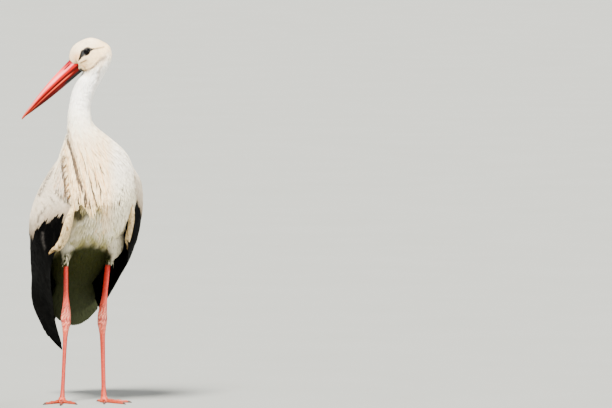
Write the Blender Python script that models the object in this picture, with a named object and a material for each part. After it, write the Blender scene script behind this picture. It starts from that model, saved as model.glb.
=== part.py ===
"""White stork, life size: a still museum model that stands on both feet and looks over its right shoulder.

Units are metres. Z is up, the breast faces -Y and the bird's own left side is +X. The figure is laid out
round a point on the floor under its breastbone, and ORIGIN_SHIFT then puts the origin under the middle of
the whole figure. Neck, breast, trunk and rump are lengths of one lofted body, parted by thin gaps."""
import math

import bmesh
import bpy
import numpy as np
from mathutils import Matrix, Vector

MM = 0.001
GAP = 0.3 * MM
ORIGIN_SHIFT = Vector((0.0104, -0.0814, 0.0))

# ---- the bird's measures ----
MIDLINE_X = 6 * MM           # the trunk's plane of symmetry
SHOULDER_LEAN = 9 * MM       # how far the shoulders lean to the bird's left of it
BILL_LENGTH = 190 * MM       # from the corner of the mouth to the tip
EYE_RADIUS = 8.5 * MM
ANKLE_HEIGHT = 200 * MM
FEATHER_END = 346 * MM       # where the bare shank comes out of the thigh feathers
# how far the thigh feathers bulge outwards: share of the way up, then mm; the left flank is the fuller one
FLANK = {"right": ((0, 0), (1, 0)), "left": ((0, 3), (0.1, 12), (0.25, 17), (0.5, 17), (1, 10))}
MIDDLE_TOE = 74 * MM         # toe lengths, without the claw
INNER_TOE = 54 * MM
OUTER_TOE = 60 * MM
HIND_TOE = 27 * MM
CLAW = 9 * MM
BIB_STEP = 9 * MM            # how far the breast plumes stand proud of the belly
TAIL_LENGTH = 141 * MM
# share of the tail's length, then its half width there in mm: a wedge with a round end
TAIL_OUTLINE = ((0, 42), (0.37, 47), (0.5, 55), (0.62, 57), (0.75, 51), (0.88, 35), (1, 14))
TAIL_LINE = Vector((0.1, 0.62, -0.785)).normalized()   # which way the tail points

# ---- how the head is turned ----
MOUTH_CORNER = Vector((-27 * MM, -80 * MM, 821.5 * MM))
BILL_HEADING = math.radians(173)   # round Z from +X: over the right shoulder
BILL_DROOP = math.radians(43.4)    # below the horizon

# ---- where the legs stand ----
LEG_Y = 32 * MM
# side: (shank top x, ankle x, foot x, foot turned out by)
LEGS = {
    "right": (-43 * MM, -38.5 * MM, -52.5 * MM, math.radians(12)),
    "left": (61.5 * MM, 49.5 * MM, 50 * MM, math.radians(28)),
}

RING = 26                    # points round a body section

# Body sections from the nape to the rump: centre x, y, z, half width, depth in front, depth behind, in mm.
BODY = np.array([
    (21, -83, 838, 27, 25, 27),
    (15, -81, 817, 28, 26, 27),
    (4, -81, 797, 28.5, 26, 26),
    (-8.5, -81.5, 777, 29.5, 26, 26),
    (-20, -83, 755, 28, 26, 26),
    (-28.5, -86, 725, 26.2, 27, 27),
    (-31.5, -89.5, 699, 28.3, 29, 28),
    (-27, -90, 674, 34, 33, 34),
    (-9, -86, 640, 58, 44, 44),
    (9, -68, 595, 85, 68, 70),
    (14, -35, 528, 104, 106, 92),
    (8, 10, 470, 106, 106, 97),
    (6, 70, 408, 90, 72, 86),
    (6, 125, 355, 76, 52, 70),
    (6, 170, 312, 62, 36, 52),
    (7, 198, 285, 50, 24, 30),
]) * MM
NECK_END, FRINGE, BODY_END = 8.0, 10.12, 15.0
# each length of it: from, to, steps between its rings
LENGTHS = {
    "neck_upper": (0.0, 3.6, 6),
    "neck_middle": (3.6, 5.6, 4),
    "neck_lower": (5.6, NECK_END, 4),
    "breast": (NECK_END, FRINGE, 6),
    "trunk": (FRINGE, 13.2, 6),
    "rump": (13.2, BODY_END, 3),
}

# Head sections along the bill's line, behind (-) and before the mouth's corner: place, top, bottom, half width.
HEAD = np.array([
    (12, 25, -15, 12.5),
    (5, 33, -18, 17),
    (-5, 39, -22, 20.5),
    (-18, 42.5, -26, 23.5),
    (-34, 40.5, -31, 26),
    (-50, 35, -38, 26.5),
    (-62, 27, -44, 25),
    (-71, 14, -43, 21),
    (-77, -2, -36, 13),
    (-79.5, -14, -26, 5),
]) * MM


def spline(table, at):
    """Rows of table read at the places `at` (0 for the first row), on a Catmull-Rom curve."""
    table = np.asarray(table, float)
    at = np.clip(np.atleast_1d(np.asarray(at, float)), 0, len(table) - 1)
    i = np.minimum(at.astype(int), len(table) - 2)
    t = (at - i)[:, None]
    padded = np.vstack([2 * table[0] - table[1], table, 2 * table[-1] - table[-2]])
    a, b, c, d = (padded[i + k] for k in range(4))
    return 0.5 * (2 * b + (c - a) * t + (2 * a - 5 * b + 4 * c - d) * t**2 + (3 * b - a - 3 * c + d) * t**3)


def smooth_step(x):
    x = min(max(x, 0.0), 1.0)
    return x * x * (3 - 2 * x)


def midline(z):
    """Where the body's plane of symmetry is at height z."""
    return MIDLINE_X + SHOULDER_LEAN * smooth_step((z - 440 * MM) / (110 * MM))


def material(name, colour, roughness):
    made = bpy.data.materials.new(name)
    made.use_nodes = True
    shader = made.node_tree.nodes["Principled BSDF"]
    shader.inputs["Base Color"].default_value = (*colour, 1.0)
    shader.inputs["Roughness"].default_value = roughness
    shader.inputs["Metallic"].default_value = 0.0
    return made


def loft(name, rings, finish, helper=False):
    """A closed solid through rings of equal length, each a list of points, with a flat cap at both ends."""
    bm = bmesh.new()
    loops = [[bm.verts.new(Vector(p) + ORIGIN_SHIFT) for p in ring] for ring in rings]
    for near, far in zip(loops, loops[1:]):
        for k in range(len(near)):
            j = (k + 1) % len(near)
            bm.faces.new((near[k], near[j], far[j]))
            bm.faces.new((near[k], far[j], far[k]))
    bm.faces.new(loops[0])
    bm.faces.new(loops[-1])
    bmesh.ops.remove_doubles(bm, verts=bm.verts, dist=0.01 * MM)
    bmesh.ops.recalc_face_normals(bm, faces=bm.faces)
    return finished(name, bm, finish, helper)


def finished(name, bm, finish, helper=False):
    mesh = bpy.data.meshes.new(name)
    bm.to_mesh(mesh)
    bm.free()
    mesh.shade_smooth()
    mesh.set_sharp_from_angle(angle=math.radians(50))
    mesh.materials.append(finish)
    made = bpy.data.objects.new(name, mesh)
    bpy.context.scene.collection.objects.link(made)
    if helper:
        made.hide_render = True
        made.display_type = "WIRE"
    return made


def cut(target, *cutters):
    """Takes the cutters' space out of the target."""
    for cutter in cutters:
        boolean = target.modifiers.new("minus " + cutter.name, "BOOLEAN")
        boolean.operation = "DIFFERENCE"
        boolean.solver = "EXACT"
        boolean.object = cutter


def oval(centre, across, along, half_across, front, back, count, squareness=2.0):
    """Points of an oval: half_across wide each way, `front` deep against `along` and `back` deep with it."""
    ring = []
    for k in range(count):
        angle = math.tau * k / count
        c, s = math.cos(angle), math.sin(angle)
        x = math.copysign(abs(c) ** (2 / squareness), c) * half_across
        y = math.copysign(abs(s) ** (2 / squareness), s)
        ring.append(centre + across * x + along * (y * (back if y > 0 else front)))
    return ring


def body_frame(s):
    """Centre, side direction, back direction and sizes of the body's section at s."""
    row = spline(BODY, s)[0]
    step = spline(BODY[:, :3], s + 0.01)[0] - spline(BODY[:, :3], s - 0.01)[0]
    tangent = Vector((0, step[1], step[2])).normalized()
    side = Vector((1, 0, 0))
    return Vector(row[:3]), side, side.cross(tangent), tangent, row[3:]


def body_rings(name, grow=0.0):
    """Rings of one length of the body; grown ones stand for it in cuts and reach past its ends."""
    s_from, s_to, steps = LENGTHS[name]
    inset = -GAP if grow else GAP / 2
    rings = []
    for k in range(steps + 1):
        s = s_from + (s_to - s_from) * k / steps
        centre, side, back, tangent, (wide, front, behind) = body_frame(s)
        if k == 0:
            centre = centre + tangent * inset
        if k == steps:
            centre = centre - tangent * inset
        ring = oval(centre, side, back, wide + grow, front + grow, behind + grow, RING, 2.15)
        if name == "breast":
            rise = BIB_STEP * smooth_step((s - NECK_END) / (FRINGE - NECK_END))
            for i, point in enumerate(ring):
                facing = -math.sin(math.tau * i / RING)
                ring[i] = point - back * (rise * smooth_step((facing - 0.1) / 0.6))
        rings.append(ring)
    return rings


def head_frame():
    """The head's own axes: forward along the bill, to its left, and up."""
    flat = Vector((math.cos(BILL_HEADING), math.sin(BILL_HEADING), 0))
    forward = flat * math.cos(BILL_DROOP) - Vector((0, 0, math.sin(BILL_DROOP)))
    left = Vector((0, 0, 1)).cross(flat)
    return forward, left, forward.cross(left)


def in_head(a, side, up):
    forward, left, top = head_frame()
    return MOUTH_CORNER + forward * a + left * side + top * up


def head_rings(grow=0.0, count=18, steps=12):
    forward, left, top = head_frame()
    rings = []
    for row in spline(HEAD, np.linspace(0, len(HEAD) - 1, steps)):
        place, high, low, wide = row
        middle = low + (high - low) * 0.52
        centre = in_head(place, 0, middle)
        rings.append(oval(centre, left, top, wide + grow, middle - low + grow, high - middle + grow, count, 2.2))
    rings[0] = [p + forward * grow for p in rings[0]]
    rings[-1] = [p - forward * grow for p in rings[-1]]
    return rings


def bill_line(t):
    """Heights of the bill at t (0 at the mouth's corner, 1 at the tip): top, mouth line, bottom, half width."""
    top = (25 - 8 * t) * MM * (1 - t**3.2)
    mouth = 4.5 * math.sin(math.pi * min(t * 1.05, 1.0)) ** 0.8 * MM
    bottom = -(17 - 9.5 * t) * MM * (1 - t**5) + 2.5 * MM * t**2
    half_width = (13.2 * (1 - t) ** 0.8 + 1.4) * MM
    return top, mouth, bottom, half_width


def bill_rings(upper, grow=0.0, steps=9, count=10):
    """D-shaped sections: flat along the mouth line, arched away from it."""
    rings = []
    for k in range(steps + 1):
        t = (k / steps) ** 0.9 * 0.985
        top, mouth, bottom, wide = bill_line(t)
        way = 1 if upper else -1
        rise = (top - mouth if upper else mouth - bottom) - GAP / 2
        ring = []
        for j in range(count):
            angle = math.pi * j / (count - 1)
            x = math.cos(angle) * (wide + grow)
            y = max(math.sin(angle), 0.0) ** 0.85 * (max(rise, 0.6 * MM) + grow)
            ring.append(in_head(t * BILL_LENGTH, x, mouth + way * (GAP / 2 + y)))
        rings.append(ring)
    return rings


# The closed wing's outer face. u, then lower edge, widest line and upper edge as (out from the midline, y, z)
# in mm. The right wing is held further forward than the left one and its tip hangs lower.
WING = {
    "right": ((0.00, 64, -108, 484, 82, -88, 545, 60, -50, 608),
              (0.14, 76, -84, 425, 117, -10, 514, 62, 8, 610),
              (0.30, 95, -20, 354, 133, 40, 446, 46, 64, 571),
              (0.50, 87, 58, 296, 122, 108, 362, 34, 129, 497),
              (0.70, 66, 142, 231, 108, 172, 292, 24, 192, 402),
              (0.86, 46, 212, 174, 95, 228, 223, 18, 235, 305),
              (1.00, 8, 298, 100, 62, 268, 160, 14, 270, 226)),
    "left": ((0.00, 84, -82, 484, 92, -78, 545, 60, -50, 608),
             (0.14, 88, -58, 425, 124, -6, 510, 62, 8, 610),
             (0.30, 99, -20, 354, 138, 40, 440, 46, 64, 571),
             (0.50, 87, 58, 296, 122, 108, 362, 34, 129, 497),
             (0.70, 66, 142, 231, 104, 172, 292, 24, 192, 402),
             (0.80, 70, 205, 220, 92, 214, 270, 20, 222, 345),
             (0.90, 52, 246, 246, 76, 250, 268, 18, 252, 303),
             (1.00, 14, 302, 182, 42, 284, 206, 14, 276, 242)),
}
SIDES = ("left", "right")
# where the wing is parted: a point of each plane and the way towards the feather tips
COVERT_END, COVERT_WAY = (0, -50 * MM, 445 * MM), Vector((0, -0.387, -0.922))
PRIMARY_START, PRIMARY_WAY = (0, 190 * MM, 235 * MM), Vector((0, 0.72, -0.694))


def wing_table(side):
    return np.array(WING[side]) * ([1] + [MM] * 9)


def wing_point(side, u, v):
    """A point of the closed wing's outer face: u runs from the front edge to the feather tips, v up from the
    lower edge over the widest line to the edge on the back."""
    table = wing_table(side)
    row = spline(table[:, 1:], np.interp(u, table[:, 0], np.arange(len(table))))[0]
    low, mid, up = (Vector(row[k:k + 3]) for k in (0, 3, 6))
    if v < 0.5:
        t = 2 * v
        point = low.lerp(mid, t)
        point.x += 5 * MM * 4 * t * (1 - t)
    else:
        t = 2 * v - 1
        turn = mid + (mid - low) * 0.27
        point = mid * (1 - t) ** 2 + turn * (2 * t * (1 - t)) + up * t * t
    sign = 1 if side == "left" else -1
    return Vector((midline(point.z) + sign * point.x, point.y, point.z))


WING_STEPS, WING_ROWS = 16, 8


def wing_solid(side):
    """The closed wing as a bmesh: the outer face, and an inner face set in by the feathers' depth."""
    grid = [[wing_point(side, i / WING_STEPS, 0.02 + 0.96 * j / WING_ROWS) for j in range(WING_ROWS + 1)]
            for i in range(WING_STEPS + 1)]
    inward = Vector((MIDLINE_X, 60 * MM, 420 * MM))
    bm = bmesh.new()
    outer, inner = [], []
    for i, row in enumerate(grid):
        u = i / WING_STEPS
        outer.append([bm.verts.new(p + ORIGIN_SHIFT) for p in row])
        line = []
        for j, p in enumerate(row):
            v = j / WING_ROWS
            along = grid[min(i + 1, WING_STEPS)][j] - grid[max(i - 1, 0)][j]
            across = row[min(j + 1, WING_ROWS)] - row[max(j - 1, 0)]
            normal = along.cross(across).normalized()
            if normal.dot(inward - p) < 0:
                normal = -normal
            depth = (3.5 + 20 * (1 - u) ** 0.9) * MM * (0.25 + 0.75 * math.sin(math.pi * v) ** 0.6)
            line.append(bm.verts.new(p + normal * depth + ORIGIN_SHIFT))
        inner.append(line)
    for near, far in ((outer, inner), (inner, outer)):
        for i in range(WING_STEPS):
            for j in range(WING_ROWS):
                bm.faces.new((near[i][j], near[i + 1][j], near[i + 1][j + 1], near[i][j + 1]))
    border = ([(i, 0) for i in range(WING_STEPS)] + [(WING_STEPS, j) for j in range(WING_ROWS)]
              + [(i, WING_ROWS) for i in range(WING_STEPS, 0, -1)] + [(0, j) for j in range(WING_ROWS, 0, -1)])
    for (i, j), (m, n) in zip(border, border[1:] + border[:1]):
        bm.faces.new((outer[i][j], outer[m][n], inner[m][n], inner[i][j]))
    bmesh.ops.recalc_face_normals(bm, faces=bm.faces)
    return bm


def keep_side(source, point, normal):
    """A copy of the closed bmesh, cut by a plane and capped; what lies along the normal is kept."""
    bm = source.copy()
    geometry = bm.verts[:] + bm.edges[:] + bm.faces[:]
    point = Vector(point) + ORIGIN_SHIFT + normal * (GAP / 2)
    made = bmesh.ops.bisect_plane(bm, geom=geometry, plane_co=point, plane_no=normal, clear_inner=True)
    rim = [e for e in made["geom_cut"] if isinstance(e, bmesh.types.BMEdge)]
    bmesh.ops.holes_fill(bm, edges=rim, sides=0)
    bmesh.ops.recalc_face_normals(bm, faces=bm.faces)
    return bm


# The folded hand, a feathered roll down the wing's front edge that ends in the bent first finger: x, y, z, radius.
HAND = {
    "right": ((-52, -111, 484, 4), (-56, -109, 464, 8), (-61, -102, 442, 10.5), (-65, -91, 420, 11),
              (-69, -77, 400, 10.5), (-77, -64, 384, 9.5), (-90, -52, 374, 5)),
    "left": ((97, -84, 484, 4), (98, -80, 466, 6.5), (98.5, -71, 446, 7.5), (97.5, -60, 426, 7.5),
             (96, -47, 408, 7.5), (95.5, -36, 394, 6.5), (98, -28, 384, 4)),
}


def hand_rings(side, grow=0.0):
    path = np.array(HAND[side]) * MM
    rings = []
    places = np.linspace(0, len(path) - 1, 9)
    for s in places:
        row = spline(path, s)[0]
        step = spline(path, s + 0.05)[0][:3] - spline(path, s - 0.05)[0][:3]
        tangent = Vector(step).normalized()
        centre = Vector(row[:3])
        across = tangent.cross(Vector((0, 1, 0.4))).normalized()
        over = tangent.cross(across)
        rings.append(oval(centre, across, over, row[3] + grow, row[3] + grow, row[3] + grow, 9))
    return rings


def leg_path(side):
    """Points down the leg from inside the thigh to the sole, with half width and half depth, in metres."""
    shank_x, ankle_x, foot_x, _ = LEGS[side]
    foot_y, ankle_y, shank_y = LEG_Y, LEG_Y + 20 * MM, LEG_Y - 2 * MM
    rows = []
    for share, wide, deep in ((1.12, 5.2, 7.5), (1.0, 5.4, 7.8), (0.62, 5.4, 7.6), (0.42, 5.8, 8.0),
                              (0.2, 8.8, 10.8), (0.06, 11.2, 12.8)):
        rows.append((ankle_x + (shank_x - ankle_x) * share, ankle_y + (shank_y - ankle_y) * share,
                     ANKLE_HEIGHT + (FEATHER_END - ANKLE_HEIGHT) * share, wide * MM, deep * MM))
    for share, wide, deep in ((0.05, 10.6, 13.2), (0.12, 8.0, 10.4), (0.24, 5.4, 7.6), (0.55, 4.6, 6.4),
                              (0.82, 4.9, 6.6), (0.93, 6.4, 8.2)):
        rows.append((ankle_x + (foot_x - ankle_x) * share, ankle_y + (foot_y - ankle_y) * share,
                     ANKLE_HEIGHT * (1 - share), wide * MM, deep * MM))
    return np.array(rows)


def leg_rings(side, s_from, s_to, steps, grow=0.0, count=10):
    path = leg_path(side)
    turn = LEGS[side][3] * (1 if side == "left" else -1)
    rings = []
    for k in range(steps + 1):
        s = s_from + (s_to - s_from) * k / steps
        row = spline(path, s)[0]
        centre = Vector(row[:3])
        if k == 0:
            centre.z -= GAP / 2
        if k == steps:
            centre.z += GAP / 2
        forward = Vector((math.sin(turn), -math.cos(turn), 0))
        across = Vector((math.cos(turn), math.sin(turn), 0))
        rings.append(oval(centre, across, forward, row[3] + grow, row[4] + grow, row[4] + grow, count))
    return rings


def thigh_rings(side, grow=0.0):
    """The feathered thigh: a cone that leaves the belly and closes round the shank."""
    shank_x = LEGS[side][0]
    inward = MIDLINE_X - shank_x
    rings = []
    for share, radius in ((0.0, 12.5), (0.15, 17), (0.4, 26), (0.7, 35), (1.0, 38)):
        swell = float(np.interp(share, *zip(*FLANK[side]))) * MM
        centre = Vector((shank_x + inward * 0.18 * share + swell, LEG_Y - (2 + 26 * share) * MM,
                         FEATHER_END + 78 * MM * share))
        rings.append(oval(centre, Vector((1, 0, 0)), Vector((0, 1, 0.2)).normalized(),
                          radius * 0.82 * MM + grow, radius * 1.15 * MM + grow, radius * 1.2 * MM + grow, 12))
    return rings


def toe(side, label, heading, length, base_half, claw_length, finish, horn, pad_cutter):
    """One toe with a flat sole on the floor, swollen at its joints, and its claw."""
    foot = Vector((LEGS[side][2], LEG_Y, 0))
    turn = LEGS[side][3] * (1 if side == "left" else -1)
    angle = heading * (1 if side == "left" else -1) + turn
    forward = Vector((math.sin(angle), -math.cos(angle), 0))
    across = Vector((math.cos(angle), math.sin(angle), 0))
    up = Vector((0, 0, 1))

    def ring(distance, half, height, drop=0.0):
        """A round-backed section cut off flat at the floor."""
        points = []
        for k in range(8):
            phi = math.tau * (k + 0.5) / 8
            z = max(0.5 * height * (1 + 1.2 * math.sin(phi)) - drop, 0.0)
            points.append(foot + forward * distance + across * (half * math.cos(phi)) + up * z)
        return points

    rings = []
    root = 7 * MM if label == "hind" else 13.5 * MM
    joints = max(round(length / (18 * MM)), 2)
    for k in range(2 * joints):
        t = k / (2 * joints - 1)
        swell = 1 + 0.13 * (k % 2)
        half = base_half * (1 - 0.38 * t) * swell
        rings.append(ring(root + (length - root - GAP) * t, half, 2.05 * half))
    solid = loft(f"toe_{side}_{label}", rings, finish)
    cut(solid, pad_cutter)
    claw_rings = []
    for t in (0.0, 0.5, 1.0):
        half = base_half * 0.52 * (1 - t) ** 0.7 + 0.3 * MM
        claw_rings.append(ring(length + claw_length * t, half, base_half * 1.15 * (1 - 0.8 * t)))
    loft(f"claw_{side}_{label}", claw_rings, horn)


def foot(side, skin, horn):
    """The pad under the ankle bone's end, and the four toes that leave it."""
    turn = LEGS[side][3] * (1 if side == "left" else -1)
    centre = Vector((LEGS[side][2], LEG_Y, 0))
    forward = Vector((math.sin(turn), -math.cos(turn), 0))
    across = Vector((math.cos(turn), math.sin(turn), 0))

    def pad_rings(grow):
        top = 0.07 * ANKLE_HEIGHT
        levels = ((0.0, 10.5, 17), (0.3, 11.2, 18), (0.6, 9.4, 12.5), (1.0, 7.6, 8.4))
        rings = []
        for share, radius, web in levels:
            level = top * share + grow * ((share == 1) - (share == 0))
            rings.append(oval(centre + Vector((0, 0, level)), across, forward, radius * MM + grow,
                              radius * 0.9 * MM + grow, web * MM + grow, 12))
        return rings

    loft(f"foot_{side}", pad_rings(0), skin)
    pad_cutter = loft(f"cutter_foot_{side}", pad_rings(GAP), skin, helper=True)
    for label, heading, length, half in (
        ("inner", math.radians(-38), INNER_TOE, 4.3 * MM),
        ("middle", math.radians(1), MIDDLE_TOE, 4.6 * MM),
        ("outer", math.radians(40), OUTER_TOE, 4.3 * MM),
        ("hind", math.radians(172), HIND_TOE, 4.0 * MM),
    ):
        toe(side, label, heading, length, half, CLAW, skin, horn, pad_cutter)


def tail_rings(grow=0.0):
    """The closed tail: a shallow arched wedge from the rump, widening to its round end."""
    start = body_frame(BODY_END)[0]
    along = TAIL_LINE
    up = Vector((1, 0, 0)).cross(along) * -1
    rings = []
    for t in (0.0, 0.37, 0.5, 0.62, 0.75, 0.88, 1.0):
        half = float(np.interp(t, *zip(*TAIL_OUTLINE))) * MM
        thick = (15 - 11.5 * t) * MM
        reach = TAIL_LENGTH * t + grow * ((t == 1.0) - (t == 0.0))
        centre = start + Vector((0, -3 * MM, -2 * MM)) + along * reach
        ring = []
        for k in range(20):
            angle = math.tau * k / 20
            x, z = math.cos(angle), math.sin(angle)
            arch = 10 * MM * (1 - x * x)
            ring.append(centre + Vector((1, 0, 0)) * (x * (half + 2 * grow))
                        + up * (z * (thick / 2 + 2 * grow) + arch))
        rings.append(ring)
    return rings


def build():
    for old in list(bpy.data.objects):
        bpy.data.objects.remove(old)
    plumage = material("white plumage", (0.86, 0.83, 0.76), 0.85)
    flight = material("black flight feathers", (0.012, 0.012, 0.014), 0.45)
    bill_red = material("red bill", (0.62, 0.06, 0.05), 0.35)
    leg_red = material("coral leg skin", (0.72, 0.19, 0.13), 0.5)
    horn = material("dark claw horn", (0.09, 0.06, 0.05), 0.4)
    eye_dark = material("dark eye", (0.012, 0.01, 0.01), 0.08)

    # helpers, a gap larger than the solids they stand for
    body_cutters = {n: loft(f"cutter_{n}", body_rings(n, GAP), plumage, True) for n in LENGTHS}
    head_cutter = loft("cutter_head", head_rings(GAP), plumage, True)
    bill_cutters = [loft(f"cutter_bill_{n}", bill_rings(upper, GAP), bill_red, True)
                    for n, upper in (("upper", True), ("lower", False))]
    hand_cutters = {s: loft(f"cutter_hand_{s}", hand_rings(s, GAP), plumage, True) for s in SIDES}
    thigh_cutters = {s: loft(f"cutter_thigh_{s}", thigh_rings(s, GAP), plumage, True) for s in SIDES}
    shank_cutters = {s: loft(f"cutter_shank_{s}", leg_rings(s, 0, 2, 3, GAP), leg_red, True) for s in SIDES}
    tail_cutter = loft("cutter_tail", tail_rings(GAP), plumage, True)

    # head
    head = loft("head", head_rings(), plumage)
    cut(head, *bill_cutters)
    loft("bill_upper", bill_rings(True), bill_red)
    loft("bill_lower", bill_rings(False), bill_red)
    for label, way in (("left", 1), ("right", -1)):
        centre = in_head(-31 * MM, way * 19.3 * MM, 11.5 * MM) + ORIGIN_SHIFT
        for name, radius, hidden in ((f"eye_{label}", EYE_RADIUS, False),
                                     (f"cutter_eye_{label}", EYE_RADIUS + GAP, True)):
            bm = bmesh.new()
            bmesh.ops.create_uvsphere(bm, u_segments=12, v_segments=7, radius=radius,
                                      matrix=Matrix.Translation(centre))
            made = finished(name, bm, eye_dark, hidden)
            if hidden:
                cut(head, made)

    # neck and trunk, each a length of the body loft
    body = {n: loft(n, body_rings(n), plumage) for n in LENGTHS}
    cut(body["neck_upper"], head_cutter)
    loft("tail", tail_rings(), plumage)
    cut(body["rump"], tail_cutter)
    for side in SIDES:
        cut(body["breast"], hand_cutters[side])
        cut(body["trunk"], hand_cutters[side], shank_cutters[side])

    # wings
    for side in SIDES:
        whole = wing_solid(side)
        lower = keep_side(whole, COVERT_END, COVERT_WAY)
        lengths = {
            "coverts": (keep_side(whole, COVERT_END, -COVERT_WAY), plumage),
            "secondaries": (keep_side(lower, PRIMARY_START, -PRIMARY_WAY), flight),
            "primaries": (keep_side(lower, PRIMARY_START, PRIMARY_WAY), flight),
        }
        whole.free()
        lower.free()
        loft(f"wing_{side}_hand", hand_rings(side), plumage)
        for label, (bm, finish) in lengths.items():
            piece = finished(f"wing_{side}_{label}", bm, finish)
            cut(piece, hand_cutters[side], thigh_cutters[side], tail_cutter)
            cut(piece, *(body_cutters[n] for n in ("neck_lower", "breast", "trunk", "rump")))

    # legs
    for side in SIDES:
        thigh = loft(f"thigh_{side}", thigh_rings(side), plumage)
        cut(thigh, body_cutters["trunk"], shank_cutters[side])
        loft(f"shank_{side}", leg_rings(side, 0, 3.4, 4), leg_red)
        loft(f"ankle_{side}", leg_rings(side, 3.4, 7.6, 6), leg_red)
        loft(f"tarsus_{side}", leg_rings(side, 7.6, 11, 5), leg_red)
        foot(side, leg_red, horn)


build()
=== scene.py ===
import math

import bmesh
import bpy
import numpy as np
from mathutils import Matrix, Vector


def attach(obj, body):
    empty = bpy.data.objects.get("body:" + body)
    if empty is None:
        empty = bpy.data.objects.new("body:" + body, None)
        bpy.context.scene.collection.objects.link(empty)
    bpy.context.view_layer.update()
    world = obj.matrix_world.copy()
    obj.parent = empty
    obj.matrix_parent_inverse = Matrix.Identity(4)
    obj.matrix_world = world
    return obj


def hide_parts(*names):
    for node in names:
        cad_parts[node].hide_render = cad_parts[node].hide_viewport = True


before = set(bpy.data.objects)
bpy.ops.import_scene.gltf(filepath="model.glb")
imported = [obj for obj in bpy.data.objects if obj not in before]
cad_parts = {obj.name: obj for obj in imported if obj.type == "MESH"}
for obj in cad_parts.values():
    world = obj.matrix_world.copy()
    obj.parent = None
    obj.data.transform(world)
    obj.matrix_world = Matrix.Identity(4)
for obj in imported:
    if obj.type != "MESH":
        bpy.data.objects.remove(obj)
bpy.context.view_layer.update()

mm = 0.001
turn = 2 * math.pi
originShift = np.array((10.4, -81.4, 0.0)) * mm
dice = np.random.default_rng(612)

print("stage 1: body measures")

# Sections of the body from the nape's foot to the rump, in mm: centre, half width, depth in front and
# behind.
bodyRows = np.array([
    (4, -81, 797, 28.5, 26, 26), (-8.5, -81.5, 777, 29.5, 26, 26), (-20, -83, 755, 28, 26, 26),
    (-28.5, -86, 725, 26.2, 27, 27), (-31.5, -89.5, 699, 28.3, 29, 28), (-27, -90, 674, 34, 33, 34),
    (-9, -86, 640, 58, 44, 44), (9, -68, 595, 85, 68, 70), (14, -35, 528, 104, 106, 92),
    (8, 10, 470, 106, 106, 97), (6, 70, 408, 90, 72, 86), (6, 125, 355, 76, 52, 70),
    (6, 170, 312, 62, 36, 52), (7, 198, 285, 50, 24, 30)]) * mm
neckTwist = (0.86, 0.66, 0.44, 0.2, 0.06)      # how much of the head's turn each upper section keeps
mouthCorner = np.array((-27, -80, 821.5)) * mm
billHeading = math.radians(173)
billDroop = math.radians(43.4)
# The head's outline round the throat, in mm along and above the bill's line: crown point, throat point,
# half width.
headRows = np.array([
    (12, 26.5, 12, -15, 15.5), (5, 33, 11.5, -16.5, 18), (-5, 39, 11.5, -17, 20.5),
    (-18, 42.5, 11.5, -17, 23.5), (-34, 40.5, 11.5, -17, 25.6), (-50, 35, 11.5, -17, 26.4),
    (-62, 27, 11.5, -17, 26.6), (-71, 14, 11.5, -17, 26.4), (-77, -2, 11.5, -17, 26.2),
    (-79.5, -14, 11.5, -17, 26), (-76.4, -26.9, 11.5, -17, 26), (-66.6, -40.2, 11.5, -17, 26),
    (-47.8, -51.4, 11.5, -17, 26)]) * mm
headEnd = float(len(headRows))                 # where the neck's own sections begin
neckEnd = headEnd + 6.0
fringe = neckEnd + 1.78                        # lower edge of the breast plumes
sweepEnd = headEnd + len(bodyRows) - 1


def unit(v):
    return v / np.maximum(np.linalg.norm(v, axis=-1, keepdims=True), 1e-12)


def together(*values):
    # the values as floats, all stretched to one shape
    return np.broadcast_arrays(*(np.asarray(k, float) for k in values))


def smooth(x, low=0.0, high=1.0):
    # 0 below low, 1 above high, and the cubic 3x^2 - 2x^3 between them
    x = np.clip((x - low) / (high - low), 0, 1)
    return x * x * (3 - 2 * x)


def bump(x, middle, spread):
    # a bell: e to the power -(distance from the middle / spread) squared
    return np.exp(-((x - middle) / spread) ** 2)


def readTable(table, at):
    # rows of a table read between its rows on a Catmull-Rom curve; past either end it runs on straight
    at = np.asarray(at, float)
    inside = np.clip(at, 0, len(table) - 1)
    i = np.minimum(inside.astype(int), len(table) - 2)
    t = (inside - i)[..., None]
    padded = np.vstack([2 * table[0] - table[1], table, 2 * table[-1] - table[-2]])
    a, b, c, d = (padded[i + k] for k in range(4))
    row = 0.5 * (2 * b + (c - a) * t + (2 * a - 5 * b + 4 * c - d) * t**2 + (3 * b - a - 3 * c + d) * t**3)
    return row + (at - inside)[..., None] * 0.5 * (c - a)


# the head's own axes: forward along the bill, to its left, and up
flatHeading = np.array((math.cos(billHeading), math.sin(billHeading), 0.0))
headForward = flatHeading * math.cos(billDroop) - np.array((0, 0, math.sin(billDroop)))
headLeft = np.cross((0.0, 0.0, 1.0), flatHeading)
headUp = np.cross(headForward, headLeft)


def inHead(a, side, up):
    # mouth corner + a * forward + side * left + up * up
    a, side, up = (np.asarray(k, float)[..., None] for k in (a, side, up))
    return mouthCorner + headForward * a + headLeft * side + headUp * up + originShift


def headPlace(points):
    # the same three measures read back from points
    off = points - mouthCorner - originShift
    return off @ headForward, off @ headLeft, off @ headUp


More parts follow.
